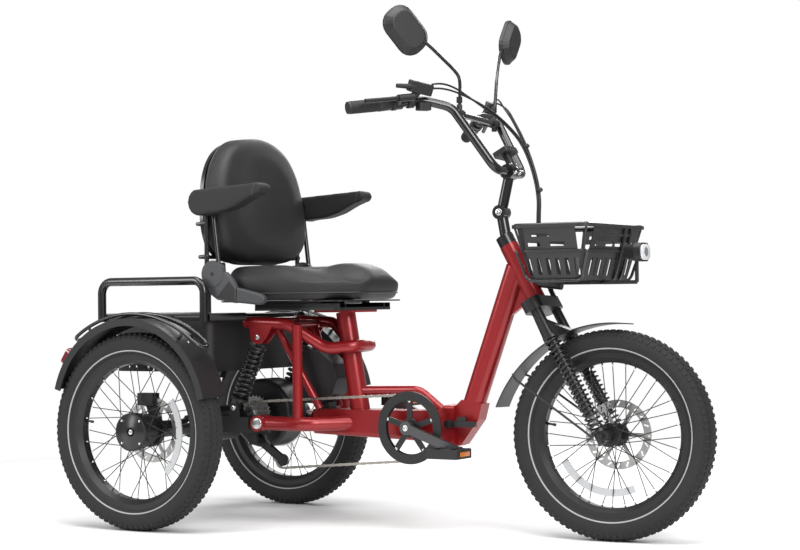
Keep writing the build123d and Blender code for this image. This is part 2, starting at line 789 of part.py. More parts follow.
def fender_place(angle, radius):
    """A place on a rear fender in side view: a radius at an angle from the front."""
    return (rear_x + radius * cos(radians(angle)), fender_z + radius * sin(radians(angle)))


def fender_band(depth):
    """The fender's curved strip in side view, added to the line being drawn."""
    inner_r = fender_r - depth
    add(Line(fender_place(fender_low, fender_r), fender_place(fender_low, inner_r), mode=Mode.PRIVATE))
    add(ThreePointArc(
        fender_place(fender_low, inner_r), fender_place(90, inner_r), fender_place(fender_high, inner_r),
        mode=Mode.PRIVATE,
    ))
    add(Line(fender_place(fender_high, inner_r), fender_place(fender_high, fender_r), mode=Mode.PRIVATE))
    add(ThreePointArc(
        fender_place(fender_high, fender_r), fender_place(90, fender_r), fender_place(fender_low, fender_r),
        mode=Mode.PRIVATE,
    ))


with BuildPart() as rear_fenders:
    for side in (-1, 1):
        with BuildSketch(Plane.XZ.offset(-(half_track - fender_w / 2) * side)):
            with BuildLine():
                fender_band(fender_t)
            make_face()
        extrude(amount=-fender_w * side)
        # a skirt hangs from each edge
        for skirt_y in (half_track - fender_w / 2, half_track + fender_w / 2 - fender_t):
            with BuildSketch(Plane.XZ.offset(-skirt_y * side)):
                with BuildLine():
                    fender_band(fender_skirt)
                make_face()
            extrude(amount=-fender_t * side)
finish(rear_fenders, "rear_fenders")

# A closed rail of thin tube lies over each fender, on four feet; its arc is flatter than the fender's
rail_half = 26.0
fender_rail_d = 10.0
fender_rail_r = 333.0
rail_low = 51.0
rail_high = 124.0


def rail_place(angle, across, ahead=0.0):
    """A place on a fender rail, and ahead of it along the tangent."""
    turn = radians(angle)
    return (
        rear_x + fender_rail_r * cos(turn) + ahead * sin(turn), across,
        fender_z - 57 + fender_rail_r * sin(turn) - ahead * cos(turn),
    )


with BuildPart() as fender_rails:
    for side in (-1, 1):
        rail_in = (half_track - rail_half) * side
        rail_out = (half_track + rail_half) * side
        arcs = (
            (rail_place(rail_low, rail_in), rail_place(90, rail_in), rail_place(rail_high, rail_in)),
            (rail_place(rail_low, rail_out), rail_place(90, rail_out), rail_place(rail_high, rail_out)),
            (
                rail_place(rail_low, rail_in), rail_place(rail_low, half_track * side, rail_half),
                rail_place(rail_low, rail_out),
            ),
            (
                rail_place(rail_high, rail_in), rail_place(rail_high, half_track * side, -rail_half),
                rail_place(rail_high, rail_out),
            ),
        )
        for first, middle, last in arcs:
            with BuildLine() as rail_route:
                ThreePointArc(first, middle, last)
            with BuildSketch(Plane(rail_route.line @ 0, z_dir=rail_route.line % 0)) as rail_section:
                Circle(fender_rail_d / 2)
            sweep(rail_section.sketch, path=rail_route.line)
        for angle, reach in ((52, 285), (122, 283)):
            foot = fender_place(angle, fender_r + gap)
            head = fender_place(angle, reach)
            for across_y in (rail_in, rail_out):
                rod((foot[0], across_y, foot[1]), (head[0], across_y, head[1]), 9)
finish(fender_rails, "fender_rails")

# Seat: base plate with channels on the frame, then the sliding seat
channel_y = 116.0
seat_mid_x = rear_x + 357
base_x = rear_x + 365
base_length = 290.0
base_w = 280.0
recline_x = rear_x + 162
recline_z = slide_z + 64
cover_in = 215.0
cover_t = 16.0
with BuildPart() as seat_base:
    with BuildSketch(Plane.XY.offset(column_top_z + 6)):
        with Locations((base_x, 0)):
            RectangleRounded(base_length, base_w, 20)
    extrude(amount=8)
    for side in (-1, 1):
        for wall in (-1, 1):
            with BuildSketch(Plane.XY.offset(slide_z)):
                with Locations((base_x, channel_y * side + wall * 15)):
                    Rectangle(base_length - 10, 4)
            extrude(amount=12)
finish(seat_base, "seat_base")

with BuildPart() as seat_rails:
    for side in (-1, 1):
        with BuildSketch(Plane.XY.offset(slide_z + gap)):
            with Locations((base_x - 30, channel_y * side)):
                Rectangle(base_length - 80, 24)
        extrude(amount=16)
    with BuildSketch(Plane.XY.offset(slide_z + gap + 16)):
        with Locations((seat_mid_x, 0)):
            RectangleRounded(350, 330, 30)
        with Locations((recline_x + 70, 0)):
            RectangleRounded(110, 2 * (cover_in + cover_t), 10)
    extrude(amount=4)
    # the slide's handle, below the front edge
    bent_tube(
        [
            (base_x + 40, -70, slide_z + 14), (seat_mid_x + 178, -70, slide_z + 14),
            (seat_mid_x + 196, -110, slide_z + 14), (seat_mid_x + 196, -176, slide_z + 14),
        ],
        [16, 20], 9,
    )
finish(seat_rails, "seat_rails")

cushion_z = slide_z + 2 * gap + 20
cushion_rear_x = rear_x + 148
cushion_front_x = rear_x + 566
cushion_half = 203.0
with BuildPart() as seat_cushion:
    with BuildSketch(Plane.XY.offset(cushion_z)) as seat_outline:
        with BuildLine():
            Polyline(
                (cushion_rear_x, -cushion_half + 40), (cushion_rear_x + 70, -cushion_half),
                (cushion_front_x - 110, -cushion_half), (cushion_front_x, -cushion_half + 110),
                (cushion_front_x, cushion_half - 110), (cushion_front_x - 110, cushion_half),
                (cushion_rear_x + 70, cushion_half), (cushion_rear_x, cushion_half - 40), close=True,
            )
        make_face()
        fillet(seat_outline.vertices().filter_by(lambda corner: corner.X < seat_mid_x - 60), 50)
        fillet(seat_outline.vertices().filter_by(lambda corner: corner.X > seat_mid_x - 60), 90)
    extrude(amount=cushion_h)
    fillet(seat_cushion.faces().sort_by(Axis.Z)[-1].edges(), 34)
finish(seat_cushion, "seat_cushion")

# Backrest, tilted about the recliner pivots
back_plane = Plane(
    origin=(recline_x - 4, 0, recline_z), x_dir=(0, 1, 0),
    z_dir=(cos(radians(back_lean)), 0, sin(radians(back_lean))),
)
hinge_in = 206.5
post_y = 224.0
with BuildPart() as recliner_covers:
    for side in (-1, 1):
        with BuildSketch(Plane.XZ.offset(-cover_in * side)):
            with BuildLine():
                Polyline(
                    (recline_x - 28, recline_z + 6), (recline_x - 20, cushion_z), (recline_x + 150, cushion_z),
                    (recline_x + 150, cushion_z + 34), (recline_x + 34, cushion_z + 40),
                    (recline_x + 26, recline_z + 10), close=True,
                )
            make_face()
            with Locations((recline_x, recline_z + 6)):
                Circle(30)
        extrude(amount=-cover_t * side)
finish(recliner_covers, "recliner_covers")


def back_place(across, up, out):
    """A place on the tilted backrest: across, up from the pivot and out towards the rider."""
    return tuple(back_plane.from_local_coords((across, up, out)))


back_half = 215.0
back_low = 62.0
back_high = 424.0
cushion_t = 70.0
# the egg-shaped outline: share of the half width, and share of the height, of points on one side
back_shape = (
    (0.42, 0.965), (0.70, 0.865), (0.895, 0.69), (0.985, 0.48), (1.0, 0.28), (0.90, 0.115), (0.62, 0.02),
)


def back_line(inset):
    """The backrest's closed outline, drawn in by the inset, added to the line being drawn."""
    half = back_half - inset
    low = back_low + inset
    height = back_high - back_low - 2 * inset
    right_side = [(half * across, low + height * up) for across, up in back_shape]
    left_side = [(-across, up) for across, up in reversed(right_side)]
    points = [(0, low + height), *right_side, (0, low), *left_side]
    add(Spline(*points, periodic=True, mode=Mode.PRIVATE))


with BuildPart() as backrest_cushion:
    with BuildSketch(back_plane.offset(-cushion_t / 2)):
        with BuildLine():
            back_line(0)
        make_face()
    extrude(amount=cushion_t)
    fillet(backrest_cushion.faces().sort_by(Axis.X)[-1].edges(), 24)
finish(backrest_cushion, "backrest_cushion")

arm_up = 232.0
arm_out = 2.0
with BuildPart() as backrest_frame:
    with BuildSketch(back_plane.offset(-cushion_t / 2 - gap)):
        with BuildLine():
            back_line(6)
        make_face()
    extrude(amount=-12)
    hinge_plate_t = cover_in - gap - hinge_in
    hinge_plate_y = hinge_in + hinge_plate_t / 2
    for side in (-1, 1):
        rod(back_place(post_y * side, 48, -26), back_place(post_y * side, arm_up - 2, -10), 13)
        rod(back_place(post_y * side, 48, 16), back_place(post_y * side, arm_up - 2, 10), 13)
        rod(back_place((post_y - 6.5) * side, arm_up, arm_out), back_place(264 * side, arm_up, arm_out), 16)
        for post_out in (-26, 16):
            rod(back_place(hinge_in * side, 54, post_out), back_place((post_y + 6) * side, 54, post_out), 13)
        # arms from the posts round the cushion's edge to its back shell
        for level in (84, 176):
            rod(back_place(120 * side, level, -43), back_place((post_y + 5) * side, level, -43), 11)
            rod(back_place(post_y * side, level, -46), back_place(post_y * side, level, -16), 11)
        slab(
            Plane.XZ.offset(-hinge_plate_y * side),
            [back_place(0, up, out)[::2] for up, out in ((0, -24), (0, 26), (62, 26), (62, -36), (36, -36))],
            hinge_plate_t, 5,
        )
        with BuildSketch(Plane.XZ.offset(-(cover_in - gap) * side)):
            with Locations((recline_x, recline_z + 6)):
                Circle(26)
        extrude(amount=hinge_plate_t * side)
finish(backrest_frame, "backrest_frame")

# Armrests, each turning on the bar that comes out of the backrest frame
armrest_in = 234.0
armrest_w = 54.0
armrest_length = 206.0
arm_pivot = back_place(0, arm_up, arm_out)
for side, side_name in ((1, "left"), (-1, "right")):
    with BuildPart() as armrest:
        with BuildSketch(Plane.XZ.offset(-armrest_in * side)):
            with BuildLine():
                Line((arm_pivot[0] + 4, arm_pivot[2] - 40), (arm_pivot[0] + armrest_length, arm_pivot[2] + 14))
                ThreePointArc(
                    (arm_pivot[0] + armrest_length, arm_pivot[2] + 14),
                    (arm_pivot[0] + armrest_length + 9, arm_pivot[2] + 32),
                    (arm_pivot[0] + armrest_length - 6, arm_pivot[2] + 44),
                )
                Line(
                    (arm_pivot[0] + armrest_length - 6, arm_pivot[2] + 44),
                    (arm_pivot[0] - 10, arm_pivot[2] + 32),
                )
                ThreePointArc(
                    (arm_pivot[0] - 10, arm_pivot[2] + 32), (arm_pivot[0] - 30, arm_pivot[2] - 4),
                    (arm_pivot[0] + 4, arm_pivot[2] - 40),
                )
            make_face()
        extrude(amount=-armrest_w * side)
        with BuildSketch(Plane.XZ.offset(-(armrest_in - 1) * side)):
            with Locations((arm_pivot[0], arm_pivot[2])):
                Circle(8 + gap)
        extrude(amount=-(264 - armrest_in + 2) * side, mode=Mode.SUBTRACT)
    finish(armrest, f"armrest_{side_name}")

# Front frame: hinge plate, down tube, gusset and head tube
tube_low = Vector(hinge_x + 42, 0, hinge_z + 6)
tube_high = Vector(*steer_point(-6, 0, (head_low + head_high) / 2 + 20))
with BuildPart() as front_frame:
    with BuildSketch(Plane.YZ.offset(hinge_x + gap / 2)):
        with Locations((0, hinge_z)):
            RectangleRounded(hinge_w, hinge_h, 10)
    extrude(amount=hinge_t)
    tube_run = tube_high - tube_low
    with BuildSketch(Plane(tube_low, x_dir=(0, 1, 0), z_dir=tube_run)):
        RectangleRounded(downtube_w, downtube_d, 20)
    extrude(amount=tube_run.length)
    slab(
        Plane.XZ,
        [
            (hinge_x + hinge_t - 4, hinge_z - hinge_h / 2 + 4), (hinge_x + 32, hinge_z - hinge_h / 2 + 4),
            (hinge_x + 84, hinge_z + 16), (hinge_x + 96, hinge_z + 60), (hinge_x + 34, hinge_z + 70),
            (hinge_x + hinge_t - 4, hinge_z + hinge_h / 2 - 4),
        ],
        downtube_w,
    )
    rod(steer_point(0, 0, head_low), steer_point(0, 0, head_high), head_tube_d)
    gusset_low = tube_low + tube_run * 0.62
    slab(
        Plane.XZ,
        [
            (gusset_low.X, gusset_low.Z), steer_point(0, 0, head_low + 8)[::2],
            steer_point(0, 0, head_high - 40)[::2],
        ],
        16,
    )
    # middle knuckle of the fold, with the bore for its pin
    rod((hinge_x, fold_y, hinge_z - 21.5), (hinge_x, fold_y, hinge_z + 21.5), knuckle_d)
    with BuildSketch(Plane.XY.offset(hinge_z - 21.5)):
        with Locations((hinge_x + gap / 2 + 7, fold_y - 7)):
            Rectangle(14, 14)
    extrude(amount=43)
    with BuildSketch(Plane.XY.offset(hinge_z - 22)):
        with Locations((hinge_x, fold_y)):
            Circle(fold_pin_d / 2 + gap)
    extrude(amount=44, mode=Mode.SUBTRACT)
    # bore of the steering bearings
    with BuildSketch(Plane(steer_point(0, 0, head_low - 1), z_dir=steering_axis.direction)):
        Circle(15 + gap)
    extrude(amount=head_high - head_low + 2, mode=Mode.SUBTRACT)
finish(front_frame, "front_frame")


# Fork: crown, steerer and stanchions, with lowers and springs
def fork_plane(up, side=0.0, forward=0.0):
    """A plane square to the steering axis, its x forward."""
    return Plane(
        steer_point(forward, side, up), x_dir=(sin(head_lean), 0, cos(head_lean)),
        z_dir=steering_axis.direction,
    )


with BuildPart() as fork_crown:
    with BuildSketch(fork_plane(crown_low)) as crown:
        with Locations((leg_forward / 2, 0)):
            RectangleRounded(54, 2 * leg_y + leg_d + 6, 22)
    extrude(amount=crown_high - crown_low)
    rod(steer_point(0, 0, crown_high - 2), steer_point(0, 0, head_high + 12), 30)
    for side in (-1, 1):
        rod(
            steer_point(leg_forward, leg_y * side, spring_low + 40),
            steer_point(leg_forward, leg_y * side, crown_high - 6), stanchion_d,
        )
        rod(
            steer_point(leg_forward, leg_y * side, spring_high),
            steer_point(leg_forward, leg_y * side, spring_high + 8), spring_d + 2,
        )
finish(fork_crown, "fork_crown", turned=True)

with BuildPart() as fork_lowers:
    for side in (-1, 1):
        with BuildSketch(fork_plane(-18, leg_y * side, leg_forward)) as lower:
            Circle(leg_d / 2)
        extrude(amount=spring_low + 18)
        with BuildSketch(fork_plane(spring_low - 8, leg_y * side, leg_forward)):
            Circle(spring_d / 2 + 1)
        extrude(amount=8)
        rod(
            (front_x, (front_hub_half + gap) * side, wheel_r), (front_x, (leg_y + 16) * side, wheel_r), 30,
        )
    rod((front_x, -leg_y - 24, wheel_r), (front_x, leg_y + 24, wheel_r), axle_d)
    for side in (-1, 1):
        with BuildSketch(fork_plane(spring_low + 40 - gap, leg_y * side, leg_forward)):
            Circle(stanchion_d / 2 + gap)
        extrude(amount=40, mode=Mode.SUBTRACT)
finish(fork_lowers, "fork_lowers", turned=True)

with BuildPart() as fork_springs:
    for side in (-1, 1):
        coil(
            steer_point(leg_forward, leg_y * side, spring_low), steer_point(leg_forward, leg_y * side, spring_high),
            spring_d, 6, 20,
        )
finish(fork_springs, "fork_springs", turned=True)

# Front fender, behind and over the wheel
front_fender_r = wheel_r + 20
front_fender_w = 84.0


def front_place(angle, radius):
    return (front_x + radius * cos(radians(angle)), wheel_r + radius * sin(radians(angle)))


with BuildPart() as front_fender:
    with BuildSketch(Plane.XZ.offset(-front_fender_w / 2)):
        with BuildLine():
            Line(front_place(82, front_fender_r), front_place(82, front_fender_r - fender_t))
            ThreePointArc(
                front_place(82, front_fender_r - fender_t), front_place(120, front_fender_r - fender_t),
                front_place(168, front_fender_r + 30 - fender_t),
            )
            Line(front_place(168, front_fender_r + 30 - fender_t), front_place(168, front_fender_r + 30))
            ThreePointArc(
                front_place(168, front_fender_r + 30), front_place(120, front_fender_r),
                front_place(82, front_fender_r),
            )
        make_face()
    extrude(amount=front_fender_w)
    # bracket up to the back of the crown, and a stay down to each fork end
    slab(
        Plane.XZ,
        [
            steer_point(-21 - gap, 0, crown_low)[::2], steer_point(-21 - gap, 0, crown_high - 4)[::2],
            front_place(128, front_fender_r - 1), front_place(112, front_fender_r - 1),
        ],
        44,
    )
    for side in (-1, 1):
        stay_low = steer_point(-4, (leg_y + 18) * side, 6)
        stay_high = front_place(150, front_fender_r + 16)
        bent_tube(
            [
                stay_low, (stay_high[0] + 26, (leg_y + 8) * side, stay_high[1] - 14),
                (stay_high[0], (front_fender_w / 2 - 4) * side, stay_high[1]),
            ],
            [20], 6,
        )
finish(front_fender, "front_fender", turned=True)

# Stem, handlebar, grips, levers, display and mirrors
with BuildPart() as stem:
    with BuildSketch(fork_plane(head_high + gap)):
        Circle(24)
    extrude(amount=28)
    rod(steer_point(2, 0, head_high + 20), steer_point(knuckle_forward, 0, knuckle_up), 30)
    rod(steer_point(knuckle_forward, -19, knuckle_up), steer_point(knuckle_forward, 19, knuckle_up), 38)
    rod(steer_point(knuckle_forward, 0, knuckle_up), steer_point(clamp_forward, 0, clamp_up), 28)
    rod(steer_point(clamp_forward, -22, clamp_up), steer_point(clamp_forward, 22, clamp_up), 40)
    with BuildSketch(Plane(steer_point(clamp_forward, -30, clamp_up), z_dir=(0, 1, 0))):
        Circle(bar_d / 2 + gap)
    extrude(amount=60, mode=Mode.SUBTRACT)
    with BuildSketch(fork_plane(head_high - 4)):
        Circle(15 + gap)
    extrude(amount=16 + 2 * gap, mode=Mode.SUBTRACT)
finish(stem, "stem", turned=True)

# the handlebar's bends on the left: forward of the steering axis, out, and up along it
bar_bends = (
    (clamp_forward, 0, clamp_up), (clamp_forward, 90, clamp_up), (84, 142, 936),
    (39, 184, 979), (-90, 352, 1014),
)
bar_radii = (34, 50, 50)
with BuildPart() as handlebar:
    route_left = [steer_point(*bend) for bend in bar_bends]
    for side in (-1, 1):
        bent_tube([(px, py * side, pz) for px, py, pz in route_left], bar_radii, bar_d)
    cross_up = 0.9
    cross = Vector(*route_left[1]) * (1 - cross_up) + Vector(*route_left[2]) * cross_up
    rod((cross.X, -cross.Y, cross.Z), (cross.X, cross.Y, cross.Z), 16)
finish(handlebar, "handlebar", turned=True)

bar_end = Vector(*route_left[-1])
grip_way = (bar_end - Vector(*route_left[-2])).normalized()


def bar_place(back_from_end, side):
    """A place on the straight end of the handlebar, measured back from its tip."""
    place = bar_end - grip_way * back_from_end
    return (place.X, place.Y * side, place.Z)


def bar_heading(side):
    return (grip_way.X, grip_way.Y * side, grip_way.Z)


with BuildPart() as grips:
    for side in (-1, 1):
        low = Vector(*bar_place(grip_length, side))
        with BuildSketch(Plane(low, z_dir=bar_heading(side))):
            Circle(grip_d / 2)
        extrude(amount=grip_length + 5)
        with BuildSketch(Plane(low, z_dir=bar_heading(side))):
            Circle(bar_d / 2 + gap)
        extrude(amount=grip_length + gap, mode=Mode.SUBTRACT)
finish(grips, "grips", turned=True)

# Basket on its bracket, with the head lamp
basket_rear_x = rear_x + 1050
basket_length = 222.0
basket_w = 360.0
basket_low_z = 668.0
basket_high_z = 806.0
basket_middle_z = basket_low_z + 72
basket_taper = 36.0
basket_mid_x = basket_rear_x + basket_length / 2
with BuildPart() as basket:
    with BuildSketch(Plane.XY.offset(basket_low_z)):
        with Locations((basket_mid_x, 0)):
            RectangleRounded(basket_length - 2 * basket_taper, basket_w - 2 * basket_taper, 24)
    with BuildSketch(Plane.XY.offset(basket_high_z)):
        with Locations((basket_mid_x, 0)):
            RectangleRounded(basket_length, basket_w, 36)
    loft()
    offset(amount=-3, openings=basket.faces().sort_by(Axis.Z)[-1])
    # a narrow grille below the middle hoop, long slots above it, and open corners
    grille_z = basket_low_z + 34
    slots = ((basket_high_z - 46, 12, 1.0), (basket_high_z - 22, 7, 0.72))
    for wall, half_wall, bars, spacing in (
        (Plane.XZ, basket_w / 2, 5, 26), (Plane.YZ, basket_length / 2 + 4, 9, 28),
    ):
        along = basket_mid_x if wall is Plane.XZ else 0
        span = spacing * (bars - 1)
        start = 0 if wall is Plane.XZ else basket_mid_x
        with BuildSketch(wall.offset(start)):
            with Locations((along, grille_z)):
                with GridLocations(spacing, 0, bars, 1):
                    Rectangle(11, 44)
            for slot_z, slot_h, share in slots:
                with Locations((along, slot_z)):
                    with GridLocations(span / 2 + 8, 0, 2, 1):
                        SlotOverall(span / 2 * share, slot_h)
        extrude(amount=half_wall, both=True, mode=Mode.SUBTRACT)
    with BuildSketch(Plane.XY.offset(basket_middle_z + 6)):
        with Locations((basket_mid_x, 0)):
            with GridLocations(basket_length, basket_w, 2, 2):
                Rectangle(78, 84)
    extrude(amount=basket_high_z - basket_middle_z - 10, mode=Mode.SUBTRACT)
    # round rim, middle hoop and corner wires
    for hoop_z, share, outside, tube in ((basket_high_z - 5, 1.0, 4, 9), (basket_middle_z, 0.54, 4, 6)):
        length = basket_length - 2 * basket_taper * (1 - share)
        width = basket_w - 2 * basket_taper * (1 - share)
        with BuildSketch(Plane.XY.offset(hoop_z)):
            with Locations((basket_mid_x, 0)):
                RectangleRounded(length + 2 * outside, width + 2 * outside, 36)
                RectangleRounded(
                    length + 2 * outside - 2 * tube, width + 2 * outside - 2 * tube, 36 - tube, mode=Mode.SUBTRACT,
                )
        extrude(amount=tube)
    for ahead in (-1, 1):
        for side in (-1, 1):
            wire = []
            for wire_z, share in ((basket_high_z, 1.0), (basket_low_z + 4, 0.10)):
                reach = basket_length / 2 - basket_taper * (1 - share) - 10
                across = basket_w / 2 - basket_taper * (1 - share) - 10
                wire.append((basket_mid_x + reach * ahead, across * side, wire_z))
            rod(wire[0], wire[1], 6)
finish(basket, "basket")

with BuildPart() as basket_frame:
    rod((basket_rear_x + 60, 0, basket_low_z - 14), steer_point(10, 0, head_low + 45), 20)
    with BuildSketch(Plane.XY.offset(basket_low_z - gap)):
        with Locations((basket_mid_x, 0)):
            RectangleRounded(basket_length - 2 * basket_taper - 20, 120, 10)
    extrude(amount=-10)
    with BuildSketch(Plane(steer_point(0, 0, head_low - 1), z_dir=steering_axis.direction)):
        Circle(head_tube_d / 2 + gap)
    extrude(amount=head_high - head_low, mode=Mode.SUBTRACT)
finish(basket_frame, "basket_frame")

lamp_x = basket_rear_x + basket_length + 40
lamp_z = 738.0
with BuildPart() as head_lamp:
    with BuildSketch(Plane.YZ.offset(lamp_x - 18)):
        with Locations((0, lamp_z)):
            RectangleRounded(40, 32, 10)
    with BuildSketch(Plane.YZ.offset(lamp_x + 14)):
        with Locations((0, lamp_z)):
            RectangleRounded(62, 48, 18)
    loft()
    with BuildSketch(Plane.YZ.offset(lamp_x + 14)):
        with Locations((0, lamp_z)):
            RectangleRounded(62, 48, 18)
    extrude(amount=18)
    rod((lamp_x + 10, 0, lamp_z - 10), (lamp_x + 10, 0, basket_low_z - 6), 10)
    rod((lamp_x + 10, 0, basket_low_z - 6), (basket_mid_x + 65 + gap, 0, basket_low_z - 6), 10)
finish(head_lamp, "head_lamp")

# Hinge lever on the right side and the pin on the left
with BuildPart() as hinge_lever:
    with BuildSketch(Plane.XZ.offset(hinge_w / 2 + gap)) as lever:
        with Locations((hinge_x + 40, hinge_z + 6)):
            RectangleRounded(96, 16, 6)
    extrude(amount=9)
    rod((hinge_x + 10, -hinge_w / 2 - gap, hinge_z + 6), (hinge_x + 10, -hinge_w / 2 - 20, hinge_z + 6), 22)
    with BuildSketch(Plane.XZ.offset(hinge_w / 2 + 9)):
        with Locations((hinge_x + 46, hinge_z + 20)):
            RectangleRounded(28, 11, 4)
    extrude(amount=-8)
finish(hinge_lever, "hinge_lever")

# Brake levers and their bodies
with BuildPart() as brake_levers:
    for side in (-1, 1):
        clamp = Vector(*bar_place(grip_length + 30, side))
        with BuildSketch(Plane(clamp, z_dir=bar_heading(side))):
            Circle(17)
            Circle(bar_d / 2 + gap, mode=Mode.SUBTRACT)
        extrude(amount=22)
        ahead = Vector(0.55, 0.83 * side, 0).normalized()
        body_low = clamp + Vector(bar_heading(side)) * 11 + ahead * 18
        body_high = body_low + ahead * 16 + Vector(0, 0, 8)
        rod(tuple(body_low), tuple(body_high), 20)
        tip = body_high + Vector(bar_heading(side)) * 96 + ahead * 12
        rod(tuple(body_high - Vector(bar_heading(side)) * 12), tuple(tip), 11)
        reservoir = body_high - Vector(bar_heading(side)) * 44
        rod(tuple(reservoir), tuple(body_high), 20)
finish(brake_levers, "brake_levers", turned=True)

with BuildPart() as display:
    with BuildSketch(fork_plane(clamp_up + 44, forward=clamp_forward + 14)):
        RectangleRounded(46, 76, 8)
    extrude(amount=14)
    rod(
        steer_point(clamp_forward + 12, 0, clamp_up), steer_point(clamp_forward + 14, 0, clamp_up + 46), 22,
    )
    with BuildSketch(Plane(steer_point(clamp_forward, -30, clamp_up), z_dir=(0, 1, 0))):
        Circle(20 + gap)
    extrude(amount=60, mode=Mode.SUBTRACT)
finish(display, "display", turned=True)

# Mirrors on stems from the cross bar: of each, its side, middle, and how far it tips in its own plane
mirror_places = (
    (-1, (rear_x + 800, -300.0, 1320.0), 30.0),
    (1, (rear_x + 825, 285.0, 1342.0), 8.0),
)
mirror_w = 138.0
mirror_h = 94.0
with BuildPart() as mirrors:
    for side, middle, tip in mirror_places:
        glass_way = Vector(-1, -0.2 * side, 0.02)
        level = Vector(-0.2 * side, 1, 0)
        shell_x = level * cos(radians(tip)) + Vector(0, 0, side * sin(radians(tip)))
        shell_plane = Plane(middle, x_dir=shell_x, z_dir=glass_way)
        stem_end = tuple(shell_plane.from_local_coords((-46 * side, 0, -12)))
        bent_tube(
            [
                (cross.X, 108 * side, cross.Z + 8 + gap), (cross.X + 6, 110 * side, cross.Z + 80),
                (rear_x + 848, 200 * side, middle[2] - 34), stem_end,
            ],
            (40, 24), 9,
        )
        with BuildSketch(shell_plane):
            RectangleRounded(mirror_w, mirror_h, 36)
        extrude(amount=9)
        with BuildSketch(shell_plane) as shell_back:
            RectangleRounded(mirror_w, mirror_h, 36)
        extrude(shell_back.sketch, amount=-18, taper=24)
finish(mirrors, "mirrors", turned=True)

with BuildPart() as tail_lamps:
    for side in (-1, 1):
        lamp_angle = 146
        place = fender_place(lamp_angle, fender_r + gap)
        heading = Vector(cos(radians(lamp_angle)), 0, sin(radians(lamp_angle)))
        with BuildSketch(Plane((place[0], half_track * side, place[1]), x_dir=(0, 1, 0), z_dir=heading)) as lamp:
            RectangleRounded(64, 56, 14)
        extrude(amount=26, taper=8)
finish(tail_lamps, "tail_lamps")

# Controller case between the side loops, behind the column
with BuildPart() as controller_case:
    with BuildSketch(Plane.XZ):
        with BuildLine():
            Polyline(
                (rear_x + 290, 336), (rear_x + 380, 336), (rear_x + 416, 362), (rear_x + 433, 408),
                (rear_x + 420, 446), (rear_x + 376, 480), (rear_x + 290, 486), close=True,
            )
        make_face()
    extrude(amount=36, both=True)
    fillet(controller_case.edges().filter_by(Axis.Y), 12)
    foot_z_low = beam_z + beam_h / 2 + gap
    with BuildSketch(Plane.XY.offset(foot_z_low)):
        with Locations((beam_rear_x + 22, 0)):
            Rectangle(40, 40)
    extrude(amount=18)
finish(controller_case, "controller_case")
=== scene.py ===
# %% [markdown]
# # A folding electric tricycle
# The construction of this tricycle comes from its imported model: frame, wheels, forks and seat.
# This lesson gives it its looks. It sets the camera, builds the finishes, and models what a
# maker would sew, mould or wire: the cushions, the tread and the small parts on the wheels.
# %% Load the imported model
import json
from math import cos, pi, radians, sin

import bmesh
import bpy
from mathutils import Matrix, Vector


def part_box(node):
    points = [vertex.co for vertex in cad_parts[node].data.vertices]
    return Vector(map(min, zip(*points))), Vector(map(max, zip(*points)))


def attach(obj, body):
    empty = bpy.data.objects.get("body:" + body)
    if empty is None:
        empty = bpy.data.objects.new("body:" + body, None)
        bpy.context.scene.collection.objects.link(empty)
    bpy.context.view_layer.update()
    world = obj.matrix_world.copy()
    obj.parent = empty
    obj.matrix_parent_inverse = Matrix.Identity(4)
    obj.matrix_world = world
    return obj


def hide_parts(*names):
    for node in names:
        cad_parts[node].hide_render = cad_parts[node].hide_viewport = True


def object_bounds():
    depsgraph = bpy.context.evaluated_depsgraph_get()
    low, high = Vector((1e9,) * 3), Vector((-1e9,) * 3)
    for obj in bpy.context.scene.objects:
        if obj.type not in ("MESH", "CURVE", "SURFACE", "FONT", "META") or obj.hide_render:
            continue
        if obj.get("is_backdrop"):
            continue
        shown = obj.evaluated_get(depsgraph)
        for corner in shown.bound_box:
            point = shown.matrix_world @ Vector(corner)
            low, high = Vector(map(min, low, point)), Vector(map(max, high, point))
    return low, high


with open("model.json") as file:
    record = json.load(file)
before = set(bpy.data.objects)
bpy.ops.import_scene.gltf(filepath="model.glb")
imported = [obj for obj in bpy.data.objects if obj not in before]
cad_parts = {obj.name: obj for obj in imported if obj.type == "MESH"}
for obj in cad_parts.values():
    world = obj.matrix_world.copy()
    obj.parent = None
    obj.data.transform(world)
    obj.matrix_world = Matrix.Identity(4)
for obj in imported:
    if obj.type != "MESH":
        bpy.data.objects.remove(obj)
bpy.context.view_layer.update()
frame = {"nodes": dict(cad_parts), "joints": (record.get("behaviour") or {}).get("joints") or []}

nodes = frame["nodes"]

# %% [markdown]
# Two helpers are used all through the lesson: one puts data into the scene as an object, and
# one turns a bmesh into a mesh.
# %% Helpers for objects and meshes
def link_new(name, data):
    """A new object with that data, linked to the scene."""
    thing = bpy.data.objects.new(name, data)
    bpy.context.scene.collection.objects.link(thing)
    return thing


def mesh_from(name, source):
    """A new mesh from a bmesh, which is freed."""
    mesh = bpy.data.meshes.new(name)
    source.to_mesh(mesh)
    source.free()
    return mesh


# %% [markdown]
# ## The camera
# The photograph was taken from the front right, with the lens a little above hub height. A
# camera is placed by its eye and three directions: back, right and up. With those as the
# columns of its matrix nothing has to be aimed by hand.
# %% Camera
eye = Vector((2.621, -4.379, 0.625))
azimuth = radians(30.86)
elevation = radians(-0.74)
roll = radians(-0.62)
lens_mm = 83.66

back = Vector((sin(azimuth) * cos(elevation), -cos(azimuth) * cos(elevation), sin(elevation)))
level = Vector((cos(azimuth), sin(azimuth), 0))
upward = back.cross(level)
right = level * cos(roll) + upward * sin(roll)
top = upward * cos(roll) - level * sin(roll)

camera = link_new("camera", bpy.data.cameras.new("camera"))
camera.data.lens = lens_mm
camera.data.clip_end = 100
turned = Matrix((right, top, back)).transposed().to_4x4()
turned.translation = eye
camera.matrix_world = turned
bpy.context.scene.camera = camera
print("camera looks along", tuple(round(v, 3) for v in -back))

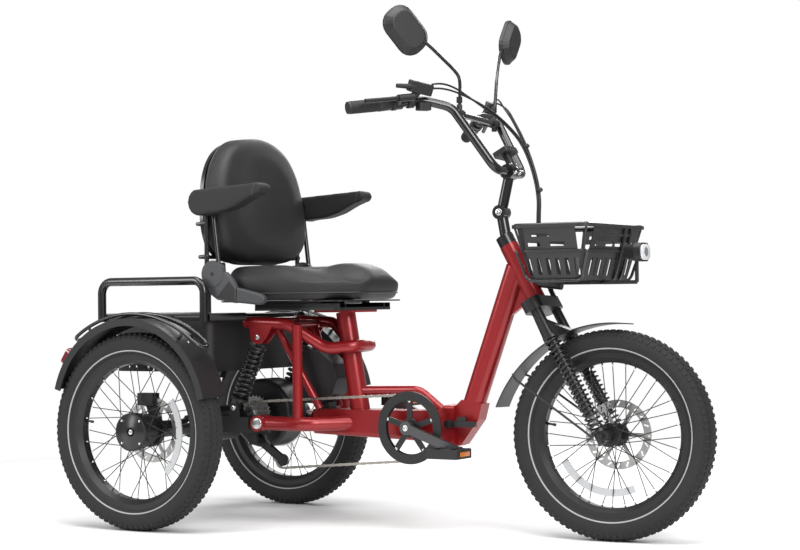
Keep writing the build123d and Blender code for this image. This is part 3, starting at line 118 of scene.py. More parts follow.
# %% [markdown]
# ## Studio light
# A product picture like this one is lit by large white boxes: one above, one beside the
# camera, and a weak one on the far side, so that every tube gets a long soft highlight. The
# room itself shows white to the camera and fills the shadows with less, so that black stays
# black.
# %% Light and floor
def softbox(name, place, aim, width, height, power):
    """A rectangular lamp at a place, facing a point."""
    lamp = link_new(name, bpy.data.lights.new(name, "AREA"))
    lamp.data.shape = "RECTANGLE"
    lamp.data.size, lamp.data.size_y = width, height
    lamp.data.energy = power
    lamp.location = place
    lamp.rotation_euler = (Vector(aim) - Vector(place)).to_track_quat("-Z", "Y").to_euler()


softbox("top_box", (0.3, -0.6, 3.6), (0, 0, 0.6), 3.6, 3.0, 165)
softbox("key_box", (3.2, -2.2, 2.4), (0, 0, 0.6), 1.6, 2.2, 110)
softbox("side_box", (-2.6, -3.0, 2.2), (0, 0, 0.6), 1.4, 2.4, 70)
softbox("far_box", (-1.2, 3.4, 2.2), (0, 0, 0.6), 2.4, 1.6, 60)

world = bpy.data.worlds.new("pale_room")
bpy.context.scene.world = world
world.use_nodes = True
bpy.context.scene.view_settings.view_transform = "Standard"
sky = world.node_tree
seen = sky.nodes["Background"]
seen.inputs["Color"].default_value = (1, 1, 1, 1)
seen.inputs["Strength"].default_value = 1.0
rays = sky.nodes.new("ShaderNodeLightPath")
room = sky.nodes.new("ShaderNodeBackground")
room.inputs["Strength"].default_value = 0.42
either = sky.nodes.new("ShaderNodeMixShader")
sky.links.new(rays.outputs["Is Camera Ray"], either.inputs[0])
sky.links.new(room.outputs[0], either.inputs[1])
sky.links.new(seen.outputs[0], either.inputs[2])
sky.links.new(either.outputs[0], sky.nodes["World Output"].inputs["Surface"])

sheet = bmesh.new()
bmesh.ops.create_circle(sheet, cap_ends=True, segments=96, radius=2.8)
floor = link_new("floor", mesh_from("floor", sheet))
floor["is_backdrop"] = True
print("lamps:", sorted(bpy.data.lights.keys()))

# %% [markdown]
# ## Shader groups
# Real surfaces are never one flat value. Each finish here shares a small kit of groups: a fine
# grain for powder coat and moulded plastic, a leathery cell pattern for vinyl, and long
# scratches for brushed metal. A group hands out a colour, a roughness and a height, and the
# material itself keeps the shader.
# %% Helpers for groups
surface_inputs = (
    ("Colour", "NodeSocketColor", (0.5, 0.5, 0.5, 1)),
    ("Contrast", "NodeSocketFloat", 0.1),
    ("Roughness", "NodeSocketFloat", 0.5),
    ("Spread", "NodeSocketFloat", 0.1),
    ("Size", "NodeSocketFloat", 400.0),
)
surface_outputs = (
    ("Colour", "NodeSocketColor"), ("Roughness", "NodeSocketFloat"), ("Height", "NodeSocketFloat"),
)


def new_group(name):
    """An empty shader group, its two end nodes and the place on the object."""
    group = bpy.data.node_groups.new(name, "ShaderNodeTree")
    for label, kind, value in surface_inputs:
        socket = group.interface.new_socket(label, in_out="INPUT", socket_type=kind)
        socket.default_value = value
    for label, kind in surface_outputs:
        group.interface.new_socket(label, in_out="OUTPUT", socket_type=kind)
    ends = [group.nodes.new(kind) for kind in ("NodeGroupInput", "NodeGroupOutput")]
    return group, *ends, group.nodes.new("ShaderNodeTexCoord").outputs["Object"]


def feed(group, socket, value):
    """Set an input to a number, or join it to a socket."""
    if isinstance(value, (int, float)):
        socket.default_value = value
    else:
        group.links.new(value, socket)


def add_math(group, operation, first, second):
    """A math node; each operand is a socket or a number."""
    node = group.nodes.new("ShaderNodeMath")
    node.operation = operation
    feed(group, node.inputs[0], first)
    feed(group, node.inputs[1], second)
    return node.outputs[0]


def finish_group(group, start, end, pattern, broad):
    """Turn a fine pattern and a broad one into colour, roughness and height."""
    shade = add_math(group, "SUBTRACT", broad, 0.5)
    shade = add_math(group, "MULTIPLY", shade, start.outputs["Contrast"])
    shade = add_math(group, "ADD", add_math(group, "MULTIPLY", shade, 2.0), 1.0)
    tinted = group.nodes.new("ShaderNodeVectorMath")
    tinted.operation = "SCALE"
    group.links.new(start.outputs["Colour"], tinted.inputs[0])
    group.links.new(shade, tinted.inputs["Scale"])
    group.links.new(tinted.outputs[0], end.inputs["Colour"])
    rough = add_math(group, "SUBTRACT", pattern, 0.5)
    rough = add_math(group, "MULTIPLY", rough, start.outputs["Spread"])
    rough = add_math(group, "ADD", rough, start.outputs["Roughness"])
    group.links.new(rough, end.inputs["Roughness"])
    group.links.new(pattern, end.inputs["Height"])


def noise_of(group, scale, detail, vector):
    """A noise texture read at a vector; the scale is a socket or a number."""
    noise = group.nodes.new("ShaderNodeTexNoise")
    noise.inputs["Detail"].default_value = detail
    feed(group, noise.inputs["Scale"], scale)
    feed(group, noise.inputs["Vector"], vector)
    return noise.outputs[0]


# %% The three groups
grain, start, end, place = new_group("fine_grain")
finish_group(
    grain, start, end, noise_of(grain, start.outputs["Size"], 3, place), noise_of(grain, 7.0, 4, place)
)

hide, start, end, place = new_group("vinyl_cells")
cells = hide.nodes.new("ShaderNodeTexVoronoi")
cells.feature = "DISTANCE_TO_EDGE"
hide.links.new(place, cells.inputs["Vector"])
hide.links.new(start.outputs["Size"], cells.inputs["Scale"])
creases = add_math(hide, "MINIMUM", add_math(hide, "MULTIPLY", cells.outputs["Distance"], 6.0), 1.0)
finish_group(hide, start, end, creases, noise_of(hide, 11.0, 4, place))

brushed, start, end, place = new_group("brushed_lines")
drawn = brushed.nodes.new("ShaderNodeMapping")
drawn.inputs["Scale"].default_value = (1.0, 0.06, 1.0)
brushed.links.new(place, drawn.inputs["Vector"])
finish_group(
    brushed, start, end, noise_of(brushed, start.outputs["Size"], 5, drawn.outputs[0]),
    noise_of(brushed, 25.0, 3, place),
)
print("groups:", [group.name for group in (grain, hide, brushed)])

# %% [markdown]
# ## The finishes
# One function places a group in a new material and joins it to the shader. The numbers are
# what tells a satin powder coat from soft rubber: the colour, how rough it is, how far both
# wander, and how deep the grain is cut.
# %% Materials
def make_finish(
    name, group, colour, roughness, contrast, spread, size=400.0, depth=0.0, metallic=0.0, coat=0.0,
):
    """A material whose colour, roughness and bump come from a group."""
    material = bpy.data.materials.new(name)
    material.use_nodes = True
    tree = material.node_tree
    shader = tree.nodes["Principled BSDF"]
    for label, value in (("Metallic", metallic), ("Coat Weight", coat), ("Coat Roughness", 0.12)):
        shader.inputs[label].default_value = value
    node = tree.nodes.new("ShaderNodeGroup")
    node.node_tree = group
    values = ((*colour, 1), contrast, roughness, spread, size)
    for (label, _, _), value in zip(surface_inputs, values):
        node.inputs[label].default_value = value
    tree.links.new(node.outputs["Colour"], shader.inputs["Base Color"])
    tree.links.new(node.outputs["Roughness"], shader.inputs["Roughness"])
    if depth:
        bump = tree.nodes.new("ShaderNodeBump")
        bump.inputs["Distance"].default_value = depth
        tree.links.new(node.outputs["Height"], bump.inputs["Height"])
        tree.links.new(bump.outputs["Normal"], shader.inputs["Normal"])
    return material


# name, group, colour, roughness, contrast, spread, grain size, depth of grain, metallic, coat
red_paint = make_finish("red_satin", grain, (0.27, 0.008, 0.011), 0.34, 0.10, 0.08, 900, 0.00002, 0.35, 0.30)
black_coat = make_finish("black_powder_coat", grain, (0.009, 0.009, 0.010), 0.40, 0.15, 0.14, 1400, 0.00004)
gloss_black = make_finish(
    "gloss_black_wire", grain, (0.006, 0.006, 0.007), 0.26, 0.12, 0.10, 1200, 0.00002, 0.0, 0.5,
)
crank_metal = make_finish("crank_grey", grain, (0.11, 0.11, 0.115), 0.36, 0.12, 0.16, 900, 0.00003, 0.85)
lever_plastic = make_finish("lever_grey", grain, (0.040, 0.041, 0.044), 0.46, 0.08, 0.12, 1800, 0.00004)
fender_coat = make_finish("fender_black", grain, (0.011, 0.011, 0.012), 0.42, 0.12, 0.10, 1200, 0.00003)
basket_coat = make_finish("basket_grey", grain, (0.020, 0.020, 0.021), 0.45, 0.12, 0.12, 1400, 0.00004)
rubber = make_finish("tyre_rubber", grain, (0.011, 0.011, 0.012), 0.78, 0.30, 0.16, 700, 0.0001)
vinyl = make_finish("seat_vinyl", hide, (0.010, 0.010, 0.011), 0.44, 0.18, 0.16, 1100, 0.00012)
arm_foam = make_finish("armrest_foam", grain, (0.009, 0.009, 0.010), 0.66, 0.22, 0.20, 1500, 0.00012)
grey_plastic = make_finish("recliner_grey", grain, (0.052, 0.053, 0.057), 0.48, 0.06, 0.12, 1800, 0.00004)
black_plastic = make_finish("moulded_black", grain, (0.010, 0.010, 0.011), 0.50, 0.12, 0.15, 1500, 0.00006)
steel = make_finish("brushed_steel", brushed, (0.60, 0.60, 0.59), 0.32, 0.10, 0.22, 900, 0.00002, 1.0)
bright_steel = make_finish("bright_steel", grain, (0.66, 0.66, 0.66), 0.24, 0.08, 0.16, 700, 0.00001, 1.0)
chain_steel = make_finish("chain_steel", grain, (0.42, 0.40, 0.36), 0.34, 0.25, 0.25, 600, 0.00003, 1.0)
spring_coat = make_finish(
    "spring_black", grain, (0.014, 0.014, 0.015), 0.30, 0.10, 0.10, 900, 0.00002, 0.3, 0.3,
)
white_band = make_finish("reflective_band", grain, (0.36, 0.36, 0.36), 0.35, 0.06, 0.10, 1200)
clear_lens = make_finish("clear_lens", grain, (0.75, 0.77, 0.80), 0.10, 0.05, 0.04, 500, 0.0, 0.2, 1.0)
red_lens = make_finish("red_lens", grain, (0.16, 0.006, 0.008), 0.14, 0.10, 0.04, 500, 0.0, 0.0, 1.0)
clear_strip = make_finish(
    "clear_reflector", grain, (0.48, 0.49, 0.50), 0.22, 0.12, 0.10, 900, 0.00004, 0.1, 0.6,
)
amber_lens = make_finish("amber_lens", grain, (0.55, 0.14, 0.01), 0.18, 0.10, 0.05, 500, 0.0, 0.0, 1.0)
dark_glass = make_finish("display_glass", grain, (0.008, 0.010, 0.012), 0.08, 0.05, 0.03, 500, 0.0, 0.0, 1.0)
mirror_glass = make_finish("mirror_glass", grain, (0.86, 0.87, 0.88), 0.03, 0.01, 0.01, 300, 0.0, 1.0)
hub_cap = make_finish("hub_cap_satin", grain, (0.012, 0.012, 0.013), 0.30, 0.12, 0.12, 1200, 0.00002)
vinyl_welt = make_finish("welt_vinyl", hide, (0.013, 0.013, 0.014), 0.36, 0.16, 0.14, 1500, 0.00006)
seam_grey = make_finish("seam_thread", grain, (0.050, 0.050, 0.053), 0.60, 0.20, 0.15, 2200, 0.00004)
cable_skin = make_finish("cable_skin", grain, (0.008, 0.008, 0.009), 0.42, 0.12, 0.12, 900, 0.00002)
floor_white = make_finish("studio_white", grain, (0.86, 0.86, 0.86), 0.85, 0.0, 0.0)
floor.data.materials.append(floor_white)
print("finishes:", len(bpy.data.materials))

# %% [markdown]
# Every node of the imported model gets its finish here, by what the real piece is made of.
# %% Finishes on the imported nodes
finishes = (
    (red_paint, ("rear_frame", "front_frame")),
    (black_coat, (
        "rack", "swing_arm", "fork_crown", "fork_lowers", "seat_base", "seat_rails", "basket_frame",
        "brake_levers", "front_rim", "rear_left_rim", "rear_right_rim", "front_hub", "rear_left_hub",
        "rear_right_hub", "drive_case", "motor", "chainring", "derailleur", "shock_bodies", "hinge_lever",
    )),
    (gloss_black, ("rack_hoops", "fender_rails", "stem", "handlebar", "backrest_frame")),
    (crank_metal, ("cranks",)),
    (fender_coat, ("rear_fenders", "front_fender")),
    (basket_coat, ("basket",)),
    (rubber, ("front_tyre", "rear_left_tyre", "rear_right_tyre")),
    (vinyl, ("seat_cushion", "backrest_cushion")),
    (arm_foam, ("armrest_left", "armrest_right")),
    (grey_plastic, ("recliner_covers",)),
    (black_plastic, (
        "grips", "pedal_left", "pedal_right", "storage_bin", "display", "mirrors", "controller_case",
        "head_lamp",
    )),
    (steel, ("front_rotor", "rear_left_rotor", "rear_right_rotor", "cassette")),
    (chain_steel, ("chain",)),
    (spring_coat, ("shock_springs", "fork_springs")),
    (red_lens, ("tail_lamps",)),
)
for material, names in finishes:
    for name in names:
        nodes[name].data.materials.clear()
        nodes[name].data.materials.append(material)
unpainted = sorted(set(nodes) - {name for _, names in finishes for name in names})
print("nodes without a finish:", unpainted)

# %% [markdown]
# ## Pieces from operators
# Each new piece starts as a bmesh shape made by an operator, and one helper turns it into an
# object that rides on its body with its material. Small parts of one kind share a
# mesh: all the screws of a wheel, for instance, are one piece.
# %% Helpers for pieces
def add_piece(name, source, material, body, smooth=True):
    """Link a bmesh as a piece that rides on a body."""
    mesh = mesh_from(name, source)
    mesh.materials.append(material)
    mesh.polygons.foreach_set("use_smooth", [smooth] * len(mesh.polygons))
    piece = link_new(name, mesh)
    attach(piece, body)
    return piece


def bevel(source, lines, width, steps=2):
    """Round some edges and give the new vertices."""
    return bmesh.ops.bevel(
        source, geom=list(lines), offset=width, segments=steps, profile=0.5, affect="EDGES", material=-1,
    )["verts"]


def add_rod(source, start, end, radius, end_radius=None, segments=16, edge=0.0):
    """A round bar between two points, its end edges softened where an edge is given."""
    start, end = Vector(start), Vector(end)
    run = end - start
    place = Matrix.Translation((start + end) / 2) @ run.to_track_quat("Z", "Y").to_matrix().to_4x4()
    made = bmesh.ops.create_cone(
        source, cap_ends=True, segments=segments, radius1=radius,
        radius2=radius if end_radius is None else end_radius, depth=run.length, matrix=place,
    )["verts"]
    if edge:
        rims = {line for vert in made for line in vert.link_edges if len(line.link_faces) == 2
                and any(len(face.verts) > 4 for face in line.link_faces)}
        bevel(source, rims, edge)


def add_block(source, size, place, corner=0.0, edge=0.0):
    """A block, its upright edges rounded by the corner and all others by the edge."""
    made = bmesh.ops.create_cube(source, size=1)["verts"]
    bmesh.ops.scale(source, vec=size, verts=made)
    if corner:
        upright = {line for vert in made for line in vert.link_edges
                   if abs((line.verts[0].co - line.verts[1].co).normalized().z) > 0.9}
        rounded = bevel(source, upright, corner, 5)
        made = list({*rounded, *(vert for vert in made if vert.is_valid)})
    if edge:
        rims = {line for vert in made for line in vert.link_edges if len(line.link_faces) == 2
                and line.calc_face_angle() > 1.0}
        rounded = bevel(source, rims, edge)
        made = list({*rounded, *(vert for vert in made if vert.is_valid)})
    bmesh.ops.transform(source, matrix=place, verts=made)


def screw(source, place, way, radius, height):
    """A socket screw's head, standing on a point: a low cylinder with a thin six-sided boss on top."""
    way = Vector(way).normalized()
    place = Vector(place)
    add_rod(source, place - way * 0.001, place + way * height, radius, segments=14, edge=radius * 0.18)
    add_rod(source, place + way * height * 0.97, place + way * (height * 1.03), radius * 0.45, segments=6)


def add_tube(name, points, radius, material, body, closed=False):
    """A smooth round tube along control points, as a piece."""
    line = bpy.data.curves.new(name, "CURVE")
    line.dimensions = "3D"
    line.bevel_depth = radius
    line.bevel_resolution = 3
    line.resolution_u = 10
    line.use_fill_caps = True
    spline = line.splines.new("NURBS")
    spline.points.add(len(points) - 1)
    for target, point in zip(spline.points, points):
        target.co = (*point, 1)
    spline.order_u = 3
    spline.use_endpoint_u = not closed
    spline.use_cyclic_u = closed
    guide = link_new(name + "_line", line)
    graph = bpy.context.evaluated_depsgraph_get()
    source = bmesh.new()
    source.from_mesh(bpy.data.meshes.new_from_object(guide.evaluated_get(graph)))
    bpy.data.objects.remove(guide)
    bmesh.ops.remove_doubles(source, verts=source.verts, dist=0.00001)
    return add_piece(name, source, material, body)


def facing(place, x_way, z_way):
    """A matrix at a place, its z along z_way and its x near x_way."""
    z_way = Vector(z_way).normalized()
    y_way = z_way.cross(Vector(x_way)).normalized()
    turned = Matrix((y_way.cross(z_way), y_way, z_way)).transposed().to_4x4()
    turned.translation = Vector(place)
    return turned


def middle_of(node):
    """The middle of a node's box."""
    low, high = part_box(node)
    return (low + high) / 2


def slanted(degrees):
    """The direction in the middle plane at an angle above straight ahead."""
    return Vector((cos(radians(degrees)), 0, sin(radians(degrees))))


side_name = {-1: "right", 1: "left"}

# %% [markdown]
# ## Two tilted frames
# What steers leans back with the steering axis and stands parked a few degrees to the left.
# A helper gives a place forward of that axis, to the left of it and up along it. The backrest
# leans too, and has a helper of its own.
# %% Places on the steering and on the backrest
rear_x = -0.614
front_x = 0.636
half_track = 0.3725
wheel_r = 0.270
head_lean = radians(61)
fork_offset = 0.018
parked = radians(4)
axis_way = Vector((-cos(head_lean), 0, sin(head_lean)))
foot = Vector((front_x - fork_offset * sin(head_lean), 0, wheel_r - fork_offset * cos(head_lean)))
parked_turn = Matrix.Translation(foot) @ Matrix.Rotation(parked, 4, axis_way) @ Matrix.Translation(-foot)


def parked_place(point):
    """A place on the steering parts, turned as they are parked."""
    return parked_turn @ Vector(point)


def steer_point(forward, side, up):
    """A place forward of the steering axis, to the left of it and up along it."""
    return parked_place((
        foot.x + forward * sin(head_lean) - up * cos(head_lean), side,
        foot.z + forward * cos(head_lean) + up * sin(head_lean),
    ))


recline_x = rear_x + 0.162
recline_z = 0.668
back_lean = radians(5)
back_out = Vector((cos(back_lean), 0, sin(back_lean)))
back_up = Vector((-sin(back_lean), 0, cos(back_lean)))


def back_place(across, up, out):
    """A place on the backrest: across, up from the recliner and out towards the rider."""
    return Vector((recline_x - 0.004, across, recline_z)) + back_up * up + back_out * out


print("the steering axis passes", tuple(round(v, 3) for v in foot))

# %% [markdown]
# ## Tyres: tread and bright bands
# The tyres carry rows of small square knobs, tilted ones on the shoulder, and a bright
# reflective band on each wall. A knob is one tapered cube; a loop copies it round the wheel
# row by row, and all the knobs of a tyre become one mesh.
# %% Tread blocks and bands
wheels = (
    # name, body, outward side, hub flanges (radius, left, right), reflector's two angles
    ("front", "wheel_front", -1, (0.026, 0.032, -0.032), (208, 294)),
    ("rear_left", "wheel_left", 1, (0.044, 0.020, -0.054), (140, 212)),
    ("rear_right", "wheel_right", -1, (0.044, 0.054, -0.020), (-47, 36)),
)
axle_of = {joint["name"]: Vector(joint["axis"]) for joint in frame["joints"]}
knob_count = 90
knob_h = 0.0034
rows = (
    # sideways from the middle, tilt, length round the tyre, width, radius, offset round
    (-0.0338, -58, 0.0100, 0.011, 0.2585, 0.0),
    (-0.0200, -16, 0.0105, 0.010, 0.2682, 0.5),
    (0.0, 0, 0.0110, 0.010, 0.2697, 0.0),
    (0.0200, 16, 0.0105, 0.010, 0.2682, 0.5),
    (0.0338, 58, 0.0100, 0.011, 0.2585, 0.0),
)
band_low = (0.0324, 0.2200)
band_high = (0.0344, 0.2234)


def wheel_matrix(label):
    """Takes a wheel built at the origin, its axle along Y, to its place."""
    turn = Vector((0, 1, 0)).rotation_difference(axle_of[f"{label}_spin"]).to_matrix().to_4x4()
    return Matrix.Translation(middle_of(f"{label}_tyre")) @ turn


def round_wheel(radius, angle, side):
    """A place on a wheel at the origin: an angle in degrees from the front, towards the top."""
    return Vector((radius * cos(radians(angle)), side, radius * sin(radians(angle))))


def tread_mesh():
    """All the knobs of one tyre, round the origin."""
    tread = bmesh.new()
    for across, tilt, along, wide, radius, shift in rows:
        for number in range(knob_count):
            knob = bmesh.ops.create_cube(tread, size=1)["verts"]
            bmesh.ops.scale(tread, vec=(along, wide, knob_h), verts=knob)
            bmesh.ops.scale(tread, vec=(0.78, 0.78, 1), verts=[vert for vert in knob if vert.co.z > 0])
            turn = Matrix.Rotation(2 * pi * (number + shift) / knob_count, 4, "Y")
            place = turn @ Matrix.Translation((0, across, radius)) @ Matrix.Rotation(radians(-tilt), 4, "X")
            bmesh.ops.transform(tread, matrix=place, verts=knob)
    return tread


def band_mesh():
    """The two bright rings of one tyre."""
    bands = bmesh.new()
    for side in (-1, 1):
        edge = [bands.verts.new((0, side * across, radius)) for across, radius in (band_low, band_high)]
        line = bands.edges.new(edge)
        bmesh.ops.spin(
            bands, geom=[line, *edge], cent=(0, 0, 0), axis=(0, 1, 0), angle=2 * pi, steps=120,
            use_merge=True,
        )
    bmesh.ops.recalc_face_normals(bands, faces=bands.faces)
    bmesh.ops.solidify(bands, geom=bands.faces[:], thickness=-0.0012)
    return bands


# %% [markdown]
# ## Wheel fittings
# Each spoke ends in a bright nipple at the rim. Every wheel carries a clear curved reflector
# between the spokes, and every rim has its valve. The rear hubs are closed by a cap with four
# screws round a bright centre, and six screws hold each brake disc.
# %% Nipples and reflectors
spoke_count = 9
nipple_length = 0.011


def nipple_mesh(flange_r, flange_left, flange_right):
    """A nipple at the rim end of each spoke."""
    nipples = bmesh.new()
    step = 360 / spoke_count
    for flange_y, rim_y, start in ((flange_left, 0.005, 0), (flange_right, -0.005, step / 4)):
        for number in range(spoke_count):
            for lean, shift in ((1, 0), (-1, step / 2)):
                angle = number * step + start + shift
                rim_end = round_wheel(0.1865, angle, rim_y)
                way = (round_wheel(flange_r, angle - 55 * lean, flange_y) - rim_end).normalized()
                add_rod(nipples, rim_end, rim_end + way * nipple_length, 0.0024, 0.0019, 8)
    return nipples


def reflector_mesh(low, high, side):
    """A clear curved strip between two angles."""
    strip = bmesh.new()
    section = ((0.138, 0), (0.157, 0), (0.157, 0.004), (0.138, 0.004))
    corners = [strip.verts.new(round_wheel(radius, low, side + depth)) for radius, depth in section]
    face = strip.faces.new(corners)
    bmesh.ops.spin(
        strip, geom=[face, *face.edges, *corners], cent=(0, 0, 0), axis=(0, -1, 0),
        angle=radians(high - low), steps=24,
    )
    bmesh.ops.recalc_face_normals(strip, faces=strip.faces)
    return strip


# %% Fit out each wheel
valve_at = 172
for label, body, outward, flanges, glow in wheels:
    place = wheel_matrix(label)
    rear = label != "front"
    valve = bmesh.new()
    root, neck, tip = (round_wheel(radius, valve_at, 0) for radius in (0.187, 0.168, 0.160))
    add_rod(valve, root, neck, 0.0034, 0.0028, 12)
    add_rod(valve, neck, tip, 0.0040, 0.0036, 12, 0.0006)
    screws = bmesh.new()
    if rear:
        for angle in (45, 135, 225, 315):
            screw(screws, round_wheel(0.043, angle, 0.033 * outward), (0, outward, 0), 0.0032, 0.0014)
        add_rod(screws, (0, 0.0215 * outward, 0), (0, 0.0346 * outward, 0), 0.0080, 0.0070, 24, 0.0008)
    disc_y, disc_out = (-0.0644 * outward, -outward) if rear else (0.0401, 1)
    for number in range(6):
        screw(screws, round_wheel(0.024, 30 + 60 * number, disc_y), (0, disc_out, 0), 0.0034, 0.0018)
    made = [
        ("tread", tread_mesh(), rubber, "tyre", False),
        ("bands", band_mesh(), white_band, "tyre", True),
        ("nipples", nipple_mesh(*flanges), bright_steel, "steel", True),
        ("reflector", reflector_mesh(*glow, 0.010 * outward), clear_strip, "lamp", False),
        ("valve", valve, black_plastic, "black_metal", True),
        ("screws", screws, bright_steel, "steel", True),
    ]
    if rear:
        rings = bmesh.new()
        for radius in (0.0485, 0.0125):
            add_rod(rings, (0, 0.0322 * outward, 0), (0, 0.0334 * outward, 0), radius, radius - 0.0006, 48)
        made.append(("cap_rings", rings, hub_cap, "black_metal", True))
    for kind, source, material, slot, smooth in made:
        bmesh.ops.transform(source, matrix=place, verts=source.verts)
        add_piece(f"{label}_{kind}", source, material, body, smooth)
print("tread knobs on each tyre:", knob_count * len(rows))

# %% [markdown]
# ## Cushions
# The seat and the backrest are foam under stretched vinyl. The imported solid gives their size.
# A copy of it is remeshed to an even net, shaped, and then blown up a little as cloth, so that
# the vinyl swells between its edges as it does over foam.
# %% Cushion helpers
def bake(piece):
    """Apply whatever modifiers a piece has."""
    graph = bpy.context.evaluated_depsgraph_get()
    made = bpy.data.meshes.new_from_object(piece.evaluated_get(graph))
    piece.modifiers.clear()
    piece.data = made


def copy_node(node, name):
    """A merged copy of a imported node's mesh, as a new object."""
    source = bmesh.new()
    source.from_mesh(nodes[node].data)
    bmesh.ops.remove_doubles(source, verts=source.verts, dist=0.00002)
    return link_new(name, mesh_from(name, source))


def remesh(piece, size):
    """Give a piece an even net of voxels of that size."""
    modifier = piece.modifiers.new("net", "REMESH")
    modifier.mode = "VOXEL"
    modifier.voxel_size = size
    bake(piece)


def soften(piece, rounds):
    """Relax a net, which rounds its corners."""
    net = bmesh.new()
    net.from_mesh(piece.data)
    for _ in range(rounds):
        bmesh.ops.smooth_vert(
            net, verts=net.verts, factor=0.5, use_axis_x=True, use_axis_y=True, use_axis_z=True,
        )
    net.to_mesh(piece.data)
    net.free()


def subdivide(piece):
    """One round of smooth subdivision."""
    piece.modifiers.new("finer", "SUBSURF").levels = 1
    bake(piece)


def inflate(piece, held, cap=0.007, pressure=2.0):
    """Swell a piece as cloth; the held points stay, and the rest move by at most the cap."""
    group = piece.vertex_groups.new(name="held")
    group.add([vert.index for vert in piece.data.vertices if held(vert.co)], 1.0, "REPLACE")
    rest = [vert.co.copy() for vert in piece.data.vertices]
    cloth = piece.modifiers.new("vinyl", "CLOTH")
    skin = cloth.settings
    skin.quality = 5
    skin.mass = 0.3
    skin.tension_stiffness = skin.compression_stiffness = skin.bending_stiffness = 60
    skin.use_pressure = True
    skin.uniform_pressure_force = pressure
    skin.vertex_group_mass = "held"
    skin.effector_weights.gravity = 0
    for number in range(1, 21):
        bpy.context.scene.frame_set(number)
    bake(piece)
    for vert, before in zip(piece.data.vertices, rest):
        moved = vert.co - before
        if moved.length > cap:
            vert.co = before + moved.normalized() * cap
    piece.vertex_groups.clear()


def finish_pad(piece, material, body, node):
    """Give a pad its material and smooth shading, fasten it to its body and hide the imported node."""
    piece.data.materials.clear()
    piece.data.materials.append(material)
    piece.data.polygons.foreach_set("use_smooth", [True] * len(piece.data.polygons))
    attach(piece, body)
    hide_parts(node)


def ease(value, low, high):
    """0 below low, 1 above high, smooth between."""
    share = min(1.0, max(0.0, (value - low) / (high - low)))
    return share * share * (3 - 2 * share)


def cut_line(piece, point, normal):
    """The longest closed line where a plane cuts a piece, as smoothed points in order."""
    net = bmesh.new()
    net.from_mesh(piece.data)
    cut = bmesh.ops.bisect_plane(
        net, geom=[*net.verts, *net.edges, *net.faces], plane_co=point, plane_no=normal,
    )["geom_cut"]
    lines = {item for item in cut if isinstance(item, bmesh.types.BMEdge)}
    best = []
    while lines:
        line = lines.pop()
        chain = [line.verts[0], line.verts[1]]
        while True:
            ahead = next((item for item in chain[-1].link_edges if item in lines), None)
            if ahead is None:
                break
            lines.remove(ahead)
            chain.append(ahead.other_vert(chain[-1]))
        if len(chain) > len(best):
            best = chain
    points = [vert.co.copy() for vert in best[:-1]]
    net.free()
    for _ in range(6):
        ahead = [*points[1:], *points[:1]]
        behind = [*points[-1:], *points[:-1]]
        points = [(a + b * 2 + c) / 4 for a, b, c in zip(behind, points, ahead)]
    return points[::2]


# %% [markdown]
# The seat has a bolster along each side that is high at the back and runs out towards the
# front, where the sitting face rolls down over the edge. A welt runs round the pad above its
# rolled lower lip.
# %% Seat cushion
seat_low, seat_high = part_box("seat_cushion")
seat = copy_node("seat_cushion", "seat_pad")
remesh(seat, 0.005)
half_seat = (seat_high.y - seat_low.y) / 2
welt_share = 0.20
for vert in seat.data.vertices:
    forward = (vert.co.x - seat_low.x) / (seat_high.x - seat_low.x)
    height = (vert.co.z - seat_low.z) / (seat_high.z - seat_low.z)
    across = abs(vert.co.y) / half_seat
    raised = ease(height, 0.45, 0.95)
    dish = (1 - ease(across, 0.30, 0.86)) * ease(forward, 0.0, 0.25) * (1 - ease(forward, 0.45, 0.80))
    thigh = ease(across, 0.18, 0.62) * ease(forward, 0.42, 0.86)
    slope = ease(forward, 0.80, 1.0)
    rim = ease(across, 0.72, 1.0)
    vert.co.z += raised * (-0.024 * dish - 0.032 * thigh - 0.012 * slope - 0.010 * rim)
    lip = 1 - ease(height, 0.0, welt_share)
    waist = ease(height, welt_share - 0.16, welt_share) * (1 - ease(height, welt_share, welt_share + 0.16))
    vert.co.y *= 1 - 0.05 * lip - 0.012 * waist - 0.02 * raised
    shorter = 1 - (0.035 * lip + 0.01 * waist + 0.02 * raised) * forward
    vert.co.x = seat_low.x + (vert.co.x - seat_low.x) * shorter
soften(seat, 8)
welt_z = seat_low.z + welt_share * (seat_high.z - seat_low.z)
inflate(seat, lambda co: co.z < seat_low.z + 0.012 or abs(co.z - welt_z) < 0.004)
soften(seat, 14)
subdivide(seat)
finish_pad(seat, vinyl, "seat", "seat_cushion")
welt = cut_line(seat, (0, 0, welt_z), (0, 0, 1))
add_tube("seat_welt", welt, 0.0028, vinyl_welt, "seat", closed=True)
print("seat pad vertices", len(seat.data.vertices))

# %% [markdown]
# The backrest is a thick shell of foam. Its face is nearly flat, its edge is round, and a welt
# marks where the vinyl meets the hard back.
# %% Backrest cushion
rear_pad = copy_node("backrest_cushion", "backrest_pad")
remesh(rear_pad, 0.005)
back_half = 0.215
for vert in rear_pad.data.vertices:
    local = vert.co - back_place(0, 0, 0)
    out = local.dot(back_out)
    up = local.dot(back_up)
    across = abs(vert.co.y) / back_half
    face = ease(out, 0.0, 0.034)
    hollow = (1 - ease(across, 0.1, 0.85)) * ease(up, 0.07, 0.20) * (1 - ease(up, 0.24, 0.42))
    vert.co -= back_out * (0.010 * face * hollow)
soften(rear_pad, 12)
inflate(rear_pad, lambda co: (co - back_place(0, 0, 0)).dot(back_out) < -0.022)
soften(rear_pad, 14)
subdivide(rear_pad)
finish_pad(rear_pad, vinyl, "backrest", "backrest_cushion")
welt = cut_line(rear_pad, back_place(0, 0.2, -0.022), back_out)
add_tube("backrest_welt", welt, 0.0026, vinyl_welt, "backrest", closed=True)
print("backrest pad vertices", len(rear_pad.data.vertices))

